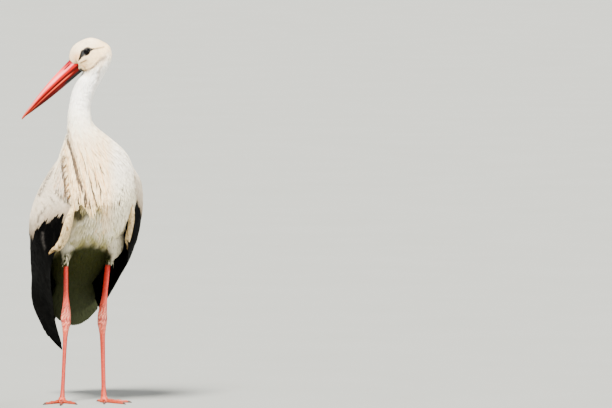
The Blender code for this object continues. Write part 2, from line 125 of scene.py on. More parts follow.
def sweepTable():
    # one row per section: centre, side direction, back direction, half width, depth in front, depth behind
    rows = []
    for crownA, crownB, throatA, throatB, wide in headRows:
        crown = headForward * crownA + headUp * crownB
        throat = headForward * throatA + headUp * throatB
        half = np.linalg.norm(crown - throat) / 2
        centre = mouthCorner + (crown + throat) / 2
        rows.append(np.concatenate([centre, headLeft, unit(crown - throat), (wide, half, half)]))
    for k, row in enumerate(bodyRows):
        step = bodyRows[min(k + 1, len(bodyRows) - 1)][:3] - bodyRows[max(k - 1, 0)][:3]
        tangent = unit(np.array((0.0, step[1], step[2])))
        share = neckTwist[k] if k < len(neckTwist) else 0.0
        angle = share * math.atan2(headLeft[1], headLeft[0])
        side = np.array((math.cos(angle), math.sin(angle), 0.0))
        back = unit(np.cross(side, tangent))
        across, front, behind = row[3:]
        mean = (front + behind) / 2
        wide = math.hypot(across * math.cos(angle), mean * math.sin(angle))
        deep = math.hypot(mean * math.cos(angle), across * math.sin(angle)) / mean
        rows.append(np.concatenate([row[:3], side, back, (wide, front * deep, behind * deep)]))
    return np.array(rows)


sweepRows = sweepTable()
bibStep = 9 * mm                               # how far the breast plumes stand proud of the belly


def coatDepth(s, angle):
    # depth of plumage over the skin: thin on the face, deepest over the breast, thinner on the rump
    deep = np.interp(s, (0, 2, 5, 9, headEnd + 1, headEnd + 5, neckEnd, fringe, fringe + 1, sweepEnd),
                     (0.6, 0.9, 1.8, 3.2, 5, 6.5, 8, 10, 9, 6)) * mm
    return deep + bibStep * bibShare(s, angle)


def bibShare(s, angle):
    # the plumes' step grows from the neck's end to the fringe, on the front only and less on the bird's
    # left, and stops there
    grown = smooth(s, neckEnd, fringe) * (1 - smooth(s, fringe, fringe + 0.35))
    onLeft = smooth(np.cos(angle), 0.02, 0.4)
    return grown * smooth(-np.sin(angle), 0.1, 0.7) * (1 - onLeft)


def headRelief(points):
    # brow ridge over each eye, hollow lores before it, full cheek below and a groove behind the gape
    a, side, up = headPlace(points)
    brow = bump(a, -27 * mm, 14 * mm) * bump(up, 24.5 * mm, 5 * mm) * 1.3 * mm
    lores = -bump(a, -4 * mm, 10 * mm) * bump(up, 12 * mm, 7 * mm) * 1.8 * mm
    socket = -bump(a, -30 * mm, 11 * mm) * bump(up, 11.5 * mm, 9 * mm) * 1.6 * mm
    cheek = bump(a, -34 * mm, 14 * mm) * bump(up, -10 * mm, 9 * mm) * 1.2 * mm
    lobe = bump(a, 6 * mm, 9 * mm) * bump(up, -8 * mm, 6 * mm) * 2.0 * mm
    folds = [strokeShare(a, up, wide * 1.3, line) * much for wide, much, line in headLines.values()]
    fold = np.max(folds[:3], axis=0) * 1.5 * mm
    return (brow + lores + socket + cheek + lobe - fold) * smooth(np.abs(side), 6 * mm, 14 * mm)


def bodySurface(s, angle, share):
    # centre(s) + side * cos(angle) * width + back * sin(angle) * depth, both powers 2/2.15,
    # at `share` of the way from the skin (0) to the outside of the plumage (1)
    s, angle, share = together(s, angle, share)
    row = readTable(sweepRows, s)
    side, back = unit(row[..., 3:6]), unit(row[..., 6:9])
    c, d = np.cos(angle), np.sin(angle)
    x = np.sign(c) * np.abs(c) ** (2 / 2.15)
    y = np.sign(d) * np.abs(d) ** (2 / 2.15)
    depth = np.where(y > 0, row[..., 11], row[..., 10])
    inset = coatDepth(s, angle) * (1 - share) - bibStep * bibShare(s, angle)
    across = np.maximum(row[..., 9] - inset, 1 * mm) * x
    along = np.maximum(depth - inset, 1 * mm) * y
    # the feathers' front edge curves back round the corner of the mouth
    drawn = 9 * mm * (1 - smooth(s, 0, 2.6)) * bump(d, -0.07, 0.27)
    points = (row[..., :3] + side * across[..., None] + back * along[..., None]
              - headForward * drawn[..., None])
    points = points + originShift
    # the furrows sink the plumage by up to four fifths of its depth
    sunk = breastFurrow(points) * 0.8 * share * coatDepth(s, angle) * smooth(s, headEnd + 3, headEnd + 4)
    return points - (side * c[..., None] + back * d[..., None]) * sunk[..., None]


print("stage 2: mesh helpers")


def gridQuads(rows, columns, wrap=True):
    # corner numbers of the quads of a grid of points, wrapped round its columns if asked
    i = np.arange(rows - 1)[:, None] * columns
    j = np.arange(columns if wrap else columns - 1)[None, :]
    k = (j + 1) % columns
    return np.stack([i + j, i + k, i + columns + k, i + columns + j], -1).reshape(-1, 4)


def addPiece(name, points, faces, finish, slotName, layers=None, bake=None, keepSharp=None):
    # a mesh object from whole arrays: points, quads, colour layers on its points and a map on its corners
    mesh = bpy.data.meshes.new(name)
    mesh.vertices.add(len(points))
    mesh.vertices.foreach_set("co", np.ascontiguousarray(points, np.float32).ravel())
    mesh.loops.add(faces.size)
    mesh.loops.foreach_set("vertex_index", faces.ravel().astype(np.int32))
    mesh.polygons.add(len(faces))
    mesh.polygons.foreach_set("loop_start", np.arange(0, faces.size, faces.shape[1], dtype=np.int32))
    mesh.update(calc_edges=True)
    for label, values in (layers or {}).items():
        kind = "FLOAT_COLOR" if values.shape[1] == 4 else "FLOAT_VECTOR"
        layer = mesh.attributes.new(label, kind, "POINT")
        layer.data.foreach_set("color" if kind == "FLOAT_COLOR" else "vector",
                               values.astype(np.float32).ravel())
    if bake is not None:
        layer = mesh.uv_layers.new(name="OFBake")
        layer.data.foreach_set("uv", bake[faces.ravel()].astype(np.float32).ravel())
    mesh.shade_smooth()
    if keepSharp:
        mesh.set_sharp_from_angle(angle=math.radians(keepSharp))
    mesh.materials.append(finish)
    piece = bpy.data.objects.new(name, mesh)
    bpy.context.scene.collection.objects.link(piece)
    if slotName:
        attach(piece, "root")
    return piece


def closedTube(points):
    # a grid of rings made closed: the two ends are drawn to their own middles
    first = points[0].mean(0, keepdims=True).repeat(points.shape[1], 0)
    last = points[-1].mean(0, keepdims=True).repeat(points.shape[1], 0)
    return np.concatenate([first[None], points, last[None]])


def gridMap(rows, columns):
    # OFBake for a piece that is one grid: its columns go across the square and its rows up it
    place = np.stack([np.tile(np.linspace(0, 1, columns), rows),
                      np.repeat(np.linspace(0, 1, rows), columns)], -1)
    return place * 0.96 + 0.02


def layersOf(tint, lie=None):
    # the colour of each point, and its place along its feather or strand of horn (0 where it has none)
    lie = np.zeros((len(tint), 3)) if lie is None else lie
    return {"tint": np.c_[tint, np.ones(len(tint))], "vane": lie}


# width along a vane from root to tip
vaneShapes = {
    "tuft": lambda t: np.sin(np.pi * np.clip(0.12 + 0.88 * t, 0, 1)) ** 0.6,
    "round": lambda t: (np.minimum(0.5 + 1.1 * t, 1)
                        * np.sqrt(np.clip(1 - (np.clip(t - 0.6, 0, 1) / 0.4) ** 2, 0, 1))),
    "lance": lambda t: np.minimum(0.35 + 1.6 * t, 1) * (1 - t**2.2) ** 0.8,
    "flight": lambda t: np.minimum(0.6 + 2 * t, 1) * (1 - np.clip((t - 0.8) / 0.2, 0, 1) ** 2.4) ** 0.7,
}


def vaneField(surface, s, angle, length, width, lean=0.0, low=0.1, high=0.8, shape="tuft", steps=4,
              camber=0.12, tilt=0.0, curl=0.0):
    # Thin closed feathers laid on a surface. A point t along and x across a feather is at
    # s + (t * length * cos(lean) - x * half width * sin(lean)) / metres per s, and likewise round the body,
    # and it rises from share low at the root to share high at the tip, its shaft higher than its edges.
    s, angle, length, width, lean, low, high = together(s, angle, length, width, lean, low, high)
    here = surface(s, angle, 0.5)
    perS = np.linalg.norm(surface(s + 0.02, angle, 0.5) - here, axis=-1) / 0.02
    perAngle = np.linalg.norm(surface(s, angle + 0.02, 0.5) - here, axis=-1) / 0.02
    perS = np.maximum(perS, 3 * mm)
    perAngle = np.maximum(perAngle, 2 * mm)
    t = np.linspace(0, 1, steps + 1)[None, :, None]
    x = np.array((-1.0, 0.0, 1.0))[None, None, :]
    wide = vaneShapes[shape](t)
    wide = np.where(t >= 1, 0.03, wide)
    col = (slice(None), None, None)
    off = x * wide * width[col] / 2
    bend = curl * t**2 * length[col]
    along = t * length[col] * np.cos(lean[col]) - (off + bend) * np.sin(lean[col])
    aside = t * length[col] * np.sin(lean[col]) + (off + bend) * np.cos(lean[col])
    share = low[col] + (high[col] - low[col]) * t**0.75 + camber * (1 - np.abs(x)) * wide + tilt * x * wide
    points = surface(s[col] + along / perS[col], angle[col] + aside / perAngle[col], share)
    count = len(s)
    ring = np.arange(3)
    base = (np.arange(count)[:, None, None] * (steps + 1) + np.arange(steps)[None, :, None]) * 3
    after = (ring + 1) % 3
    faces = np.stack([base + ring, base + after, base + 3 + after, base + 3 + ring], -1).reshape(-1, 4)
    vane = np.broadcast_arrays(x, t, dice.random(count)[col])
    return points.reshape(-1, 3), faces, np.stack(vane, -1).reshape(-1, 3)


def staggered(surface, sFrom, sTo, rowGap, columnGap, angleFrom=0.0, angleTo=turn, jitter=0.35,
              probe=math.pi / 2):
    # roots in staggered rows: row places by distance along the surface, and places round each row by its own
    # length; rows closer together than the gap lose some of their roots
    fine = np.linspace(sFrom, sTo, 400)
    path = surface(fine, probe, 0.5)
    run = np.concatenate([[0], np.cumsum(np.linalg.norm(np.diff(path, axis=0), axis=1))])
    rows = max(int(run[-1] / rowGap), 2)
    rowS = np.interp((np.arange(rows) + 0.5) / rows * run[-1], run, fine)
    around = np.linspace(angleFrom, angleTo, 49)
    ringPoints = surface(rowS[:, None], around[None, :], 0.5)
    girth = np.linalg.norm(np.diff(ringPoints, axis=1), axis=2)
    counts = np.maximum((girth.sum(1) / columnGap).astype(int), 2)
    i = np.repeat(np.arange(rows), counts)
    k = np.arange(counts.sum()) - np.repeat(np.cumsum(counts) - counts, counts)
    place = (k + 0.25 + 0.5 * (i % 2) + jitter * (dice.random(len(i)) - 0.5)) / counts[i]
    lengthRound = np.concatenate([np.zeros((rows, 1)), np.cumsum(girth, 1)], 1)
    lengthRound /= lengthRound[:, -1:]
    angle = angleFrom + (angleTo - angleFrom) * inverseRows(lengthRound, i, place)
    gapS = (sTo - sFrom) / rows
    s = rowS[i] + jitter * gapS * (dice.random(len(i)) - 0.5)
    spacing = np.linalg.norm(surface(s + 0.02, angle, 0.5) - surface(s, angle, 0.5), axis=-1) / 0.02
    localGap = np.interp(s, rowS, np.gradient(rowS)) * spacing
    kept = dice.random(len(i)) < localGap / rowGap * 1.05
    return s[kept], angle[kept]


def inverseRows(table, rowNumber, place):
    # for each row of a rising table, the share of the way along it at which it reaches `place`
    place = np.clip(place, 0, 1)
    rising = table[rowNumber]
    k = np.clip((rising <= place[:, None]).sum(1) - 1, 0, table.shape[1] - 2)
    low = rising[np.arange(len(k)), k]
    high = rising[np.arange(len(k)), k + 1]
    return (k + (place - low) / np.maximum(high - low, 1e-9)) / (table.shape[1] - 1)


print("stage 3: colours and finishes")


def paint(red, green, blue):
    # a colour given as 0 to 255 for a screen, drawn 1.5 times as far from its own grey, as light for the
    # shader
    grey = (red + green + blue) / 3
    strong = np.clip([grey + 1.5 * (k - grey) for k in (red, green, blue)], 1, 255)
    return (strong / 255) ** 2.2


# The tints for creases, furrows and lines, the shadow, the underside, the tail, the vent, the plumes' ends
# and the dim olive grey are painted shade.
plumageColours = {
    "crown": paint(251, 230, 204), "cheek": paint(240, 218, 184), "lores": paint(220, 180, 136),
    "creaseShade": paint(104, 82, 52), "neck": paint(254, 250, 244), "lowNeck": paint(252, 238, 218),
    "breast": paint(246, 226, 196), "tan": paint(202, 166, 120), "side": paint(242, 236, 224),
    "plumeEndShade": paint(204, 190, 150), "furrowShade": paint(60, 57, 54), "belly": paint(220, 212, 186),
    "bellyPale": paint(245, 238, 220), "shadow": paint(50, 46, 18), "undertailShade": paint(42, 44, 17),
    "tailShade": paint(54, 57, 43), "back": paint(246, 241, 232), "ventShade": paint(150, 146, 112),
    "black": paint(14, 13, 14), "armWhite": paint(216, 206, 192), "dimShade": paint(140, 134, 94),
    "line": paint(66, 54, 36),
}


def mixed(a, b, share):
    share = np.asarray(share)[..., None]
    return a * (1 - share) + b * share


def strokeShare(across, up, width, line):
    # 1 on a line drawn through places (across, up) in mm, and a bell of the distance away from it
    near = np.full(np.shape(across), 1.0)
    for (x0, y0), (x1, y1) in zip(line, line[1:]):
        run = np.array((x1 - x0, y1 - y0)) * mm
        right, high = across - x0 * mm, up - y0 * mm
        along = np.clip((right * run[0] + high * run[1]) / (run @ run), 0, 1)
        near = np.minimum(near, np.hypot(right - along * run[0], high - along * run[1]))
    return bump(near, 0, width * mm)


def eyePatch(points):
    # bare black skin: an oval round the eye, a long thin point towards the bill and a short one behind
    a, side, up = headPlace(points)
    oval = np.hypot((a + 30 * mm) / (12.6 * mm), (up - 13 * mm) / (9.2 * mm))
    ahead = np.clip((-a - 1 * mm) / (19 * mm), 0, 1)
    front = np.abs(up - 10 * mm - 0.30 * (-a - 1 * mm)) / ((0.8 + 6.0 * ahead) * mm)
    front = np.where((a > -1 * mm) | (a < -26 * mm), 9, front)
    behind = np.clip((a + 50 * mm) / (10 * mm), 0.01, 1)
    rear = np.abs(up - 4.9 * mm - 0.5 * (a + 50 * mm)) / (5.0 * mm * behind)
    rear = np.where((a < -50 * mm) | (a > -34 * mm), 9, rear)
    inside = 1 - smooth(np.minimum(np.minimum(oval, front), rear), 0.86, 1.08)
    return inside * smooth(np.abs(side), 8 * mm, 12 * mm)


# Creases on the side of the head and the nape, drawn as lines of painted shade and, all but the nape's, sunk
# as folds; in mm along and above the bill's line: width, strength, places.
headLines = {
    "brow": (1.6, 0.6, ((-46, 6.5), (-69, -8.3))), "gape": (2.0, 1.0, ((-1, 3), (-14.9, -1.4))),
    "jaw": (2.6, 1.0, ((9, -16), (-5, -22.5), (-21, -24), (-41, -24.4), (-57, -29.3))),
    "nape": (3.0, 0.45, ((-53.8, -28), (-21.7, -40.6), (-2.6, -55.5))),
}


# Creases in the breast plumage, in mm: height, then how far to the bird's left the crease lies there, from
# top to foot; a crease's feathers are thin and as wide as its last number, and dark as painted shade.
breastCreases = {
    "neckFoot": (1.8, (668, -63), (635, -58), (609, -51), (570, -43), (541, -34), (522, -28)),
    "shoulder": (2.0, (602, -70), (575, -69), (545, -66), (516, -65), (494, -58)),
    "nape": (1.4, (600, -47), (585, -43), (560, -36)), "lobe": (2.2, (553, -35), (528, -27), (497, -21)),
    "middle": (1.8, (560, -17), (536, -11), (520, -9)), "low": (2.2, (540, -13), (510, -5), (480, 4)),
    "long": (1.6, (508, -17), (480, -13), (462, -10)), "left": (1.0, (592, 6), (574, 11), (566, 14)),
    "leftLow": (1.4, (548, 4), (530, 9), (506, 11)), "flank": (1.6, (508, 62), (498, 60), (486, 58)),
    "flankLow": (1.2, (532, 68), (520, 66)), "upperMiddle": (1.0, (612, -34), (590, -27), (566, -22)),
    "gap": (3.6, (518, -23), (502, -26), (484, -25)), "gapRight": (2.6, (506, -41), (492, -39), (476, -38)),
    "fine": (1.0, (560, -46), (535, -40), (512, -36)), "fineMiddle": (1.0, (575, -6), (552, -2), (532, 1)),
}
# where the ends of the breast plumes hang to, in mm: how far to the bird's left, and the height of the tips
fringeTips = np.array(((-75, 500), (-55, 477), (-46, 469), (-38, 477), (-31, 493), (-24, 481), (-16, 467),
                       (-9, 446),
                       (-2, 470), (9, 484), (16, 499), (26, 512)))


def breastFurrow(points):
    # the two long creases are furrows too: 1 in their bottom, falling off as a bell to either side
    place = points - originShift
    depth = np.zeros(place.shape[:-1])
    for name in ("neckFoot", "shoulder"):
        line = np.array(breastCreases[name][1:]) * mm
        x = np.interp(place[..., 2], line[::-1, 0], line[::-1, 1])
        top, foot = line[0, 0], line[-1, 0]
        ends = (smooth(place[..., 2], foot - 4 * mm, foot + 12 * mm)
                * (1 - smooth(place[..., 2], top - 8 * mm, top)))
        depth = np.maximum(depth, bump(place[..., 0] - x, 0, 3.2 * mm) * ends)
    return depth * (1 - smooth(place[..., 1], -60 * mm, -30 * mm))


def streakNoise(points):
    # soft lengthwise streaks: sums of sines across the breast that drift slowly with height
    z = points[..., 2] / mm
    x = (points[..., 0] - originShift[0]) / mm + 0.22 * z
    return (np.sin(x * 0.42 + 3 * np.sin(z * 0.017)) + np.sin(x * 0.83 + 2 * np.sin(z * 0.031) + 1.3)
            + 0.7 * np.sin(x * 1.37 + 1.5 * np.sin(z * 0.043) + 2.1)) / 2.7


def shadeUnder(points, low=-18, high=12):
    # 1 below an arch over the legs, 389 mm high in the middle and falling away with the square of x
    place = (points - originShift) / mm
    x = place[..., 0]
    arch = 389 - 0.0072 * (x - 6) ** 2 + 2 * np.sin(x * 0.21) * np.sin(x * 0.083)
    return 1 - smooth(place[..., 2] - arch, low, high)


def undersideShade(points):
    # painted shade: deep olive under the belly, greyer and paler towards the end of the tail
    return mixed(plumageColours["undertailShade"], plumageColours["tailShade"],
                 1 - smooth(points[..., 2], 200 * mm, 330 * mm))


def coatTint(points, s, angle):
    # cream crown and cheek, white neck, creamy breast; painted shade darkens the plumes' ends, the head's
    # and breast's creases and the belly, olive-grey below
    c = plumageColours
    place = points - originShift
    a, side, up = headPlace(points)
    head = mixed(c["cheek"], c["crown"], smooth(up, -4 * mm, 24 * mm))
    lores = bump(a, -4.5 * mm, 12 * mm) * bump(up, 20 * mm, 9 * mm) * 0.75
    lobe = bump(a, 3 * mm, 9 * mm) * bump(up, -8 * mm, 6 * mm) * 0.7
    head = mixed(head, c["lores"], np.maximum(lores, lobe))
    # painted shade in the hollow between the jaw line and the nape
    head = mixed(head, c["creaseShade"], bump(np.hypot(a + 44 * mm, up + 24 * mm), 0, 9 * mm) * 0.35)
    outwards = smooth(np.abs(side), 6 * mm, 12 * mm)
    # the head's creases and the nape's line darkened as painted shade
    strokes = [strokeShare(a, up, wide, line) * much for wide, much, line in headLines.values()]
    head = mixed(head, c["creaseShade"], np.max(strokes[:3], axis=0) * 0.85 * outwards)
    neck = mixed(c["neck"], c["lowNeck"], smooth(s, headEnd + 2, neckEnd - 0.5))
    neck = mixed(neck, c["creaseShade"], strokes[3] * outwards)
    tint = mixed(head, neck, smooth(s, 8, 12.5))
    front = 1 - smooth(np.sin(angle), -0.25, 0.25)
    onLeft = smooth(place[..., 0], 20 * mm, 60 * mm)
    plume = mixed(c["breast"], c["tan"], smooth(streakNoise(points), -0.1, 0.9) * 0.75 * (1 - 0.8 * onLeft))
    lowSide = mixed(c["side"], c["belly"], smooth(place[..., 2], 580 * mm, 490 * mm) * 0.6)
    plume = mixed(plume, lowSide, onLeft)
    tint = mixed(tint, plume, smooth(s, neckEnd - 2.0, neckEnd + 0.4) * front)
    # painted shade: the plumes' ends turn olive grey on the front
    ending = smooth(s, fringe - 0.5, fringe + 0.1) * (1 - smooth(place[..., 0], 10 * mm, 26 * mm))
    tint = mixed(tint, c["plumeEndShade"], ending * smooth(place[..., 0], -58 * mm, -34 * mm) * 0.75)
    onward = smooth(place[..., 0], 12 * mm, 32 * mm)
    under = smooth(s, fringe + 0.02 + 0.1 * onward, fringe + 0.25 + 1.0 * onward)
    shoulder = np.interp(place[..., 2] / mm, (470, 494, 545, 602), (-60, -60, -67, -72)) * mm
    beyond = smooth(shoulder - place[..., 0], 0, 5 * mm) * (s > neckEnd) * front
    tint = mixed(tint, c["armWhite"], beyond * (1 - smooth(place[..., 2], 590 * mm, 610 * mm)))
    clouds = np.sin(place[..., 0] / mm * 0.13 + 2 * np.sin(place[..., 2] / mm * 0.07))
    belly = mixed(c["belly"], c["bellyPale"], 0.5 + 0.5 * clouds * np.sin(place[..., 2] / mm * 0.16 + 1))
    tint = mixed(tint, belly, under * front)
    # the belly lies in the plumes' shade under their ends, deepest to the right of the middle
    shade = bump(place[..., 0], -34 * mm, 16 * mm) * bump(place[..., 2], 464 * mm, 20 * mm)
    tint = mixed(tint, c["shadow"], np.clip(shade * 1.5, 0, 0.94) * under * front)
    # painted shade: a dim olive grey that deepens in patches down the belly, never lightening it
    dimShade = shadeUnder(points, -4, 36) * smooth(s, fringe, fringe + 0.4) * front
    patchy = 0.62 + 0.38 * np.sin(place[..., 0] / mm * 0.23 + 1.5 * np.sin(place[..., 2] / mm * 0.11))
    tint = np.minimum(tint, mixed(tint, c["dimShade"], dimShade * patchy * 0.9))
    # painted shade: the underside's deep olive below the arch
    low = shadeUnder(points) * smooth(s, fringe, fringe + 0.4)
    tint = mixed(tint, undersideShade(points), low * (1 - smooth(np.sin(angle), 0.1, 0.5)))
    tint = mixed(tint, c["back"], smooth(s, neckEnd, neckEnd + 1) * smooth(np.sin(angle), 0.1, 0.5))
    # painted shade in the bottom of the two long furrows
    tint = mixed(tint, c["furrowShade"], breastFurrow(points) * 0.8)
    return mixed(tint, c["black"], eyePatch(points))


def newMaterial(name, roughness, **constant):
    # a Principled material; `constant` sets other inputs by name
    made = bpy.data.materials.new(name)
    made.use_nodes = True
    shader = made.node_tree.nodes["Principled BSDF"]
    shader.inputs["Roughness"].default_value = roughness
    for key, value in constant.items():
        shader.inputs[key.replace("_", " ")].default_value = value
    return made, made.node_tree, shader


def addNode(tree, kind, **values):
    # a node whose inputs, or own settings, are given by name
    node = tree.nodes.new(kind)
    for key, value in values.items():
        if key in node.inputs:
            node.inputs[key].default_value = value
        else:
            setattr(node, key, value)
    return node


def mathNode(tree, operation, first, second):
    # a maths node on two values, each a number or another node's output
    node = tree.nodes.new("ShaderNodeMath")
    node.operation = operation
    for socket, value in zip(node.inputs, (first, second)):
        if hasattr(value, "is_output"):
            tree.links.new(value, socket)
        else:
            socket.default_value = value
    return node.outputs[0]


def multiplied(tree, colour, factor):
    # colour times a grey factor
    node = tree.nodes.new("ShaderNodeMix")
    node.data_type = "RGBA"
    node.blend_type = "MULTIPLY"
    node.inputs[0].default_value = 1.0
    tree.links.new(colour, node.inputs[6])
    tree.links.new(factor, node.inputs[7])
    return node.outputs[2]


def ranged(tree, value, low, high, fromLow=0.0, fromHigh=1.0):
    # fromLow to fromHigh mapped onto low to high
    node = tree.nodes.new("ShaderNodeMapRange")
    for key, number in zip(("From Min", "From Max", "To Min", "To Max"), (fromLow, fromHigh, low, high)):
        node.inputs[key].default_value = number
    tree.links.new(value, node.inputs["Value"])
    return node.outputs["Result"]


def placedTexture(tree, kind, **values):
    # a texture that reads the object's own coordinates
    node = addNode(tree, kind, **values)
    place = addNode(tree, "ShaderNodeTexCoord")
    tree.links.new(place.outputs["Object"], node.inputs["Vector"])
    return node


def finishTinted(tree, shader, shade, rough, height=None, relief=0.0, deep=0.0):
    # colour: the piece's own tint times a grey shade; roughness from a pattern; bump from a height
    tint = addNode(tree, "ShaderNodeAttribute", attribute_name="tint")
    tree.links.new(multiplied(tree, tint.outputs["Color"], shade), shader.inputs["Base Color"])
    tree.links.new(rough, shader.inputs["Roughness"])
    if height is not None:
        bumpNode = addNode(tree, "ShaderNodeBump", Strength=relief, Distance=deep)
        tree.links.new(height, bumpNode.inputs["Height"])
        tree.links.new(bumpNode.outputs["Normal"], shader.inputs["Normal"])


def featherMaterial(name, roughness, barbs, patchy, relief, **constant):
    # the feather's own tint, mottled, with fine barbs that slant from the shaft to each edge
    made, tree, shader = newMaterial(name, roughness, **constant)
    vane = addNode(tree, "ShaderNodeAttribute", attribute_name="vane")
    split = addNode(tree, "ShaderNodeSeparateXYZ")
    tree.links.new(vane.outputs["Vector"], split.inputs[0])
    mottle = placedTexture(tree, "ShaderNodeTexNoise", Scale=60.0, Detail=3.0).outputs["Fac"]
    sideways = mathNode(tree, "ABSOLUTE", split.outputs["X"], 0.0)
    slant = mathNode(tree, "SUBTRACT", mathNode(tree, "MULTIPLY", split.outputs["Y"], 26.0),
                     mathNode(tree, "MULTIPLY", sideways, 5.0))
    wave = mathNode(tree, "SINE", mathNode(tree, "MULTIPLY", slant, barbs), 0.0)
    streak = ranged(tree, wave, 1 - patchy * 0.5, 1.0, -1.0, 1.0)
    cloud = ranged(tree, mottle, 1 - patchy, 1 + patchy * 0.4, 0.3, 0.7)
    rough = ranged(tree, mottle, roughness - 0.08, roughness + 0.08, 0.3, 0.7)
    height = mathNode(tree, "ADD", wave, mathNode(tree, "MULTIPLY", mottle, 2.0))
    finishTinted(tree, shader, mathNode(tree, "MULTIPLY", streak, cloud), rough, height, relief, 0.0006)
    return made


def skinMaterial(name, roughness, cellScale, relief):
    # the skin's tint, broken by small scales and pores
    made, tree, shader = newMaterial(name, roughness)
    cells = placedTexture(tree, "ShaderNodeTexVoronoi", Scale=cellScale).outputs["Distance"]
    fine = placedTexture(tree, "ShaderNodeTexNoise", Scale=cellScale * 0.35, Detail=5.0).outputs["Fac"]
    cell = ranged(tree, cells, 1.06, 0.8, 0.0, 0.8)
    cloud = ranged(tree, fine, 0.8, 1.15, 0.3, 0.7)
    rough = ranged(tree, fine, roughness - 0.1, roughness + 0.1, 0.3, 0.7)
    height = mathNode(tree, "SUBTRACT", fine, cells)
    finishTinted(tree, shader, mathNode(tree, "MULTIPLY", cell, cloud), rough, height, relief, 0.0008)
    return made


softWhite = featherMaterial("soft white plumage", 0.82, 3.0, 0.1, 0.25, Specular_IOR_Level=0.2)
flightBlack = featherMaterial("black flight feathers", 0.68, 4.0, 0.18, 0.3, Specular_IOR_Level=0.025)
bareSkin = skinMaterial("bare skin", 0.55, 420.0, 0.5)
scuteSkin = skinMaterial("leg scales", 0.5, 600.0, 0.35)

print("stage 4: skin")

legSettings = {
    "ankleHeight": 200 * mm, "featherEnd": 346 * mm, "y": 32 * mm, "scaleDepth": 0.45 * mm,
    # shank top x, ankle x, foot x, turned out by
    "right": (-43 * mm, -38.5 * mm, -52.5 * mm, -math.radians(12)),
    "left": (61.5 * mm, 49.5 * mm, 50 * mm, math.radians(28)),
}
legColours = {
    "shank": paint(188, 62, 52), "shankPale": paint(196, 84, 68), "ankle": paint(200, 108, 88),
    "pinkScale": paint(240, 196, 178), "band": paint(112, 24, 20),
    "tarsus": paint(140, 58, 42), "foot": paint(142, 68, 48),
}
toeRows = (("inner", -38, 54, 4.3), ("middle", 1, 74, 4.6), ("outer", 40, 60, 4.3), ("hind", 172, 27, 4.0))
clawLength = 9 * mm
footTop = 14 * mm


def flatAxes(angle):
    # axes on the floor turned by the angle: to the side and ahead
    return np.array((math.cos(angle), math.sin(angle), 0)), np.array((math.sin(angle), -math.cos(angle), 0))


def legTable(side):
    # down the leg: centre, half width, half depth; wide at the ankle, slim above and below it
    shankX, ankleX, footX, _ = legSettings[side]
    footY, ankleY, shankY = (legSettings["y"] + k * mm for k in (0, 20, -2))
    high, low = legSettings["featherEnd"], legSettings["ankleHeight"]
    rows = []
    for share, wide, deep in ((1.25, 5.2, 7.5), (1.0, 5.4, 7.8), (0.62, 5.4, 7.6), (0.42, 5.8, 8.0),
                              (0.2, 8.8, 10.8), (0.06, 11.2, 12.8)):
        rows.append((ankleX + (shankX - ankleX) * share, ankleY + (shankY - ankleY) * share,
                     low + (high - low) * share, wide * mm, deep * mm))
    for share, wide, deep in ((0.05, 10.6, 13.2), (0.12, 8.0, 10.4), (0.24, 5.4, 7.6), (0.55, 4.6, 6.4),
                              (0.82, 4.9, 6.6), (0.93, 6.4, 8.2), (0.965, 7.2, 8.6)):
        rows.append((ankleX + (footX - ankleX) * share, ankleY + (footY - ankleY) * share,
                     low * (1 - share), wide * mm, deep * mm))
    return np.array(rows)


def legSurface(side):
    table = legTable(side)
    across, forward = flatAxes(legSettings[side][3])

    def surface(s, angle, share):
        # centre(s) + across * cos(angle) * width + forward * sin(angle) * depth, with knuckles at the ankle
        s, angle, share = together(s, angle, share)
        row = readTable(table, s)
        knuckle = bump(s, 5.0, 1.5) * (0.7 * np.cos(2 * angle + 0.6) - 0.5 * bump(np.sin(angle), 0.9, 0.3)
                                       + 0.5 * np.sin(3 * angle + 2.2 * s)) * mm
        tendon = -0.5 * mm * bump(np.cos(angle), 0.0, 0.25) * (1 - bump(s, 5.0, 1.8))
        inset = legSettings["scaleDepth"] * (1 - share) - knuckle - tendon * 0.6
        wide, deep = (row[..., k] - inset for k in (3, 4))
        return (row[..., :3] + across * (np.cos(angle) * wide)[..., None]
                + forward * (np.sin(angle) * deep)[..., None] + originShift)
    return surface


def toeSurface(side, label):
    swing = legSettings[side][3]
    way = 1 if side == "left" else -1
    _, heading, length, half = next(row for row in toeRows if row[0] == label)
    angleOut = math.radians(heading) * way + swing
    across, forward = flatAxes(angleOut)
    foot = np.array((legSettings[side][2], legSettings["y"], 0))
    start = -2 * mm
    reach = length * mm - start
    joints = max(round(length / 18), 2)

    def surface(s, angle, share):
        # a round-backed section, flat at the floor, tapering to the claw and swollen at each joint
        s, angle, share = together(s, angle, share)
        swell = 1 + 0.09 * np.cos(turn * joints * np.clip(s, 0, 1) + 0.6)
        end = np.sqrt(np.clip(1 - np.clip((s - 0.93) / 0.07, 0, 1) ** 2, 0.04, 1))
        wide = (half * mm * (1 - 0.38 * s) * swell - 0.4 * mm * (1 - share)) * end
        height = 2.05 * wide * 0.5 * (1 + 1.2 * np.sin(angle))
        z = np.maximum(height, 0)
        return (foot + forward * (start + reach * s)[..., None] + across * (wide * np.cos(angle))[..., None]
                + np.array((0, 0, 1.0)) * z[..., None] + originShift)
    return surface


def padSurface(side):
    across, forward = flatAxes(legSettings[side][3])
    centre = np.array((legSettings[side][2], legSettings["y"], 0))

    def surface(s, angle, share):
        # the foot's pad: rings up from the sole, deeper in front where the toes' webs meet
        s, angle = together(s, angle)
        wide = np.interp(s, (0, 0.1, 0.3, 0.6, 1), (9.6, 10.4, 10.8, 9.2, 7.4)) * mm
        web = np.interp(s, (0, 0.1, 0.3, 0.6, 1), (16, 16.8, 17.2, 12.2, 8.2)) * mm
        c, d = np.cos(angle), np.sin(angle)
        deep = np.where(d > 0, web, wide * 0.9)
        return (centre + across * (c * wide)[..., None] + forward * (d * deep)[..., None]
                + np.array((0, 0, footTop)) * s[..., None] + originShift)
    return surface


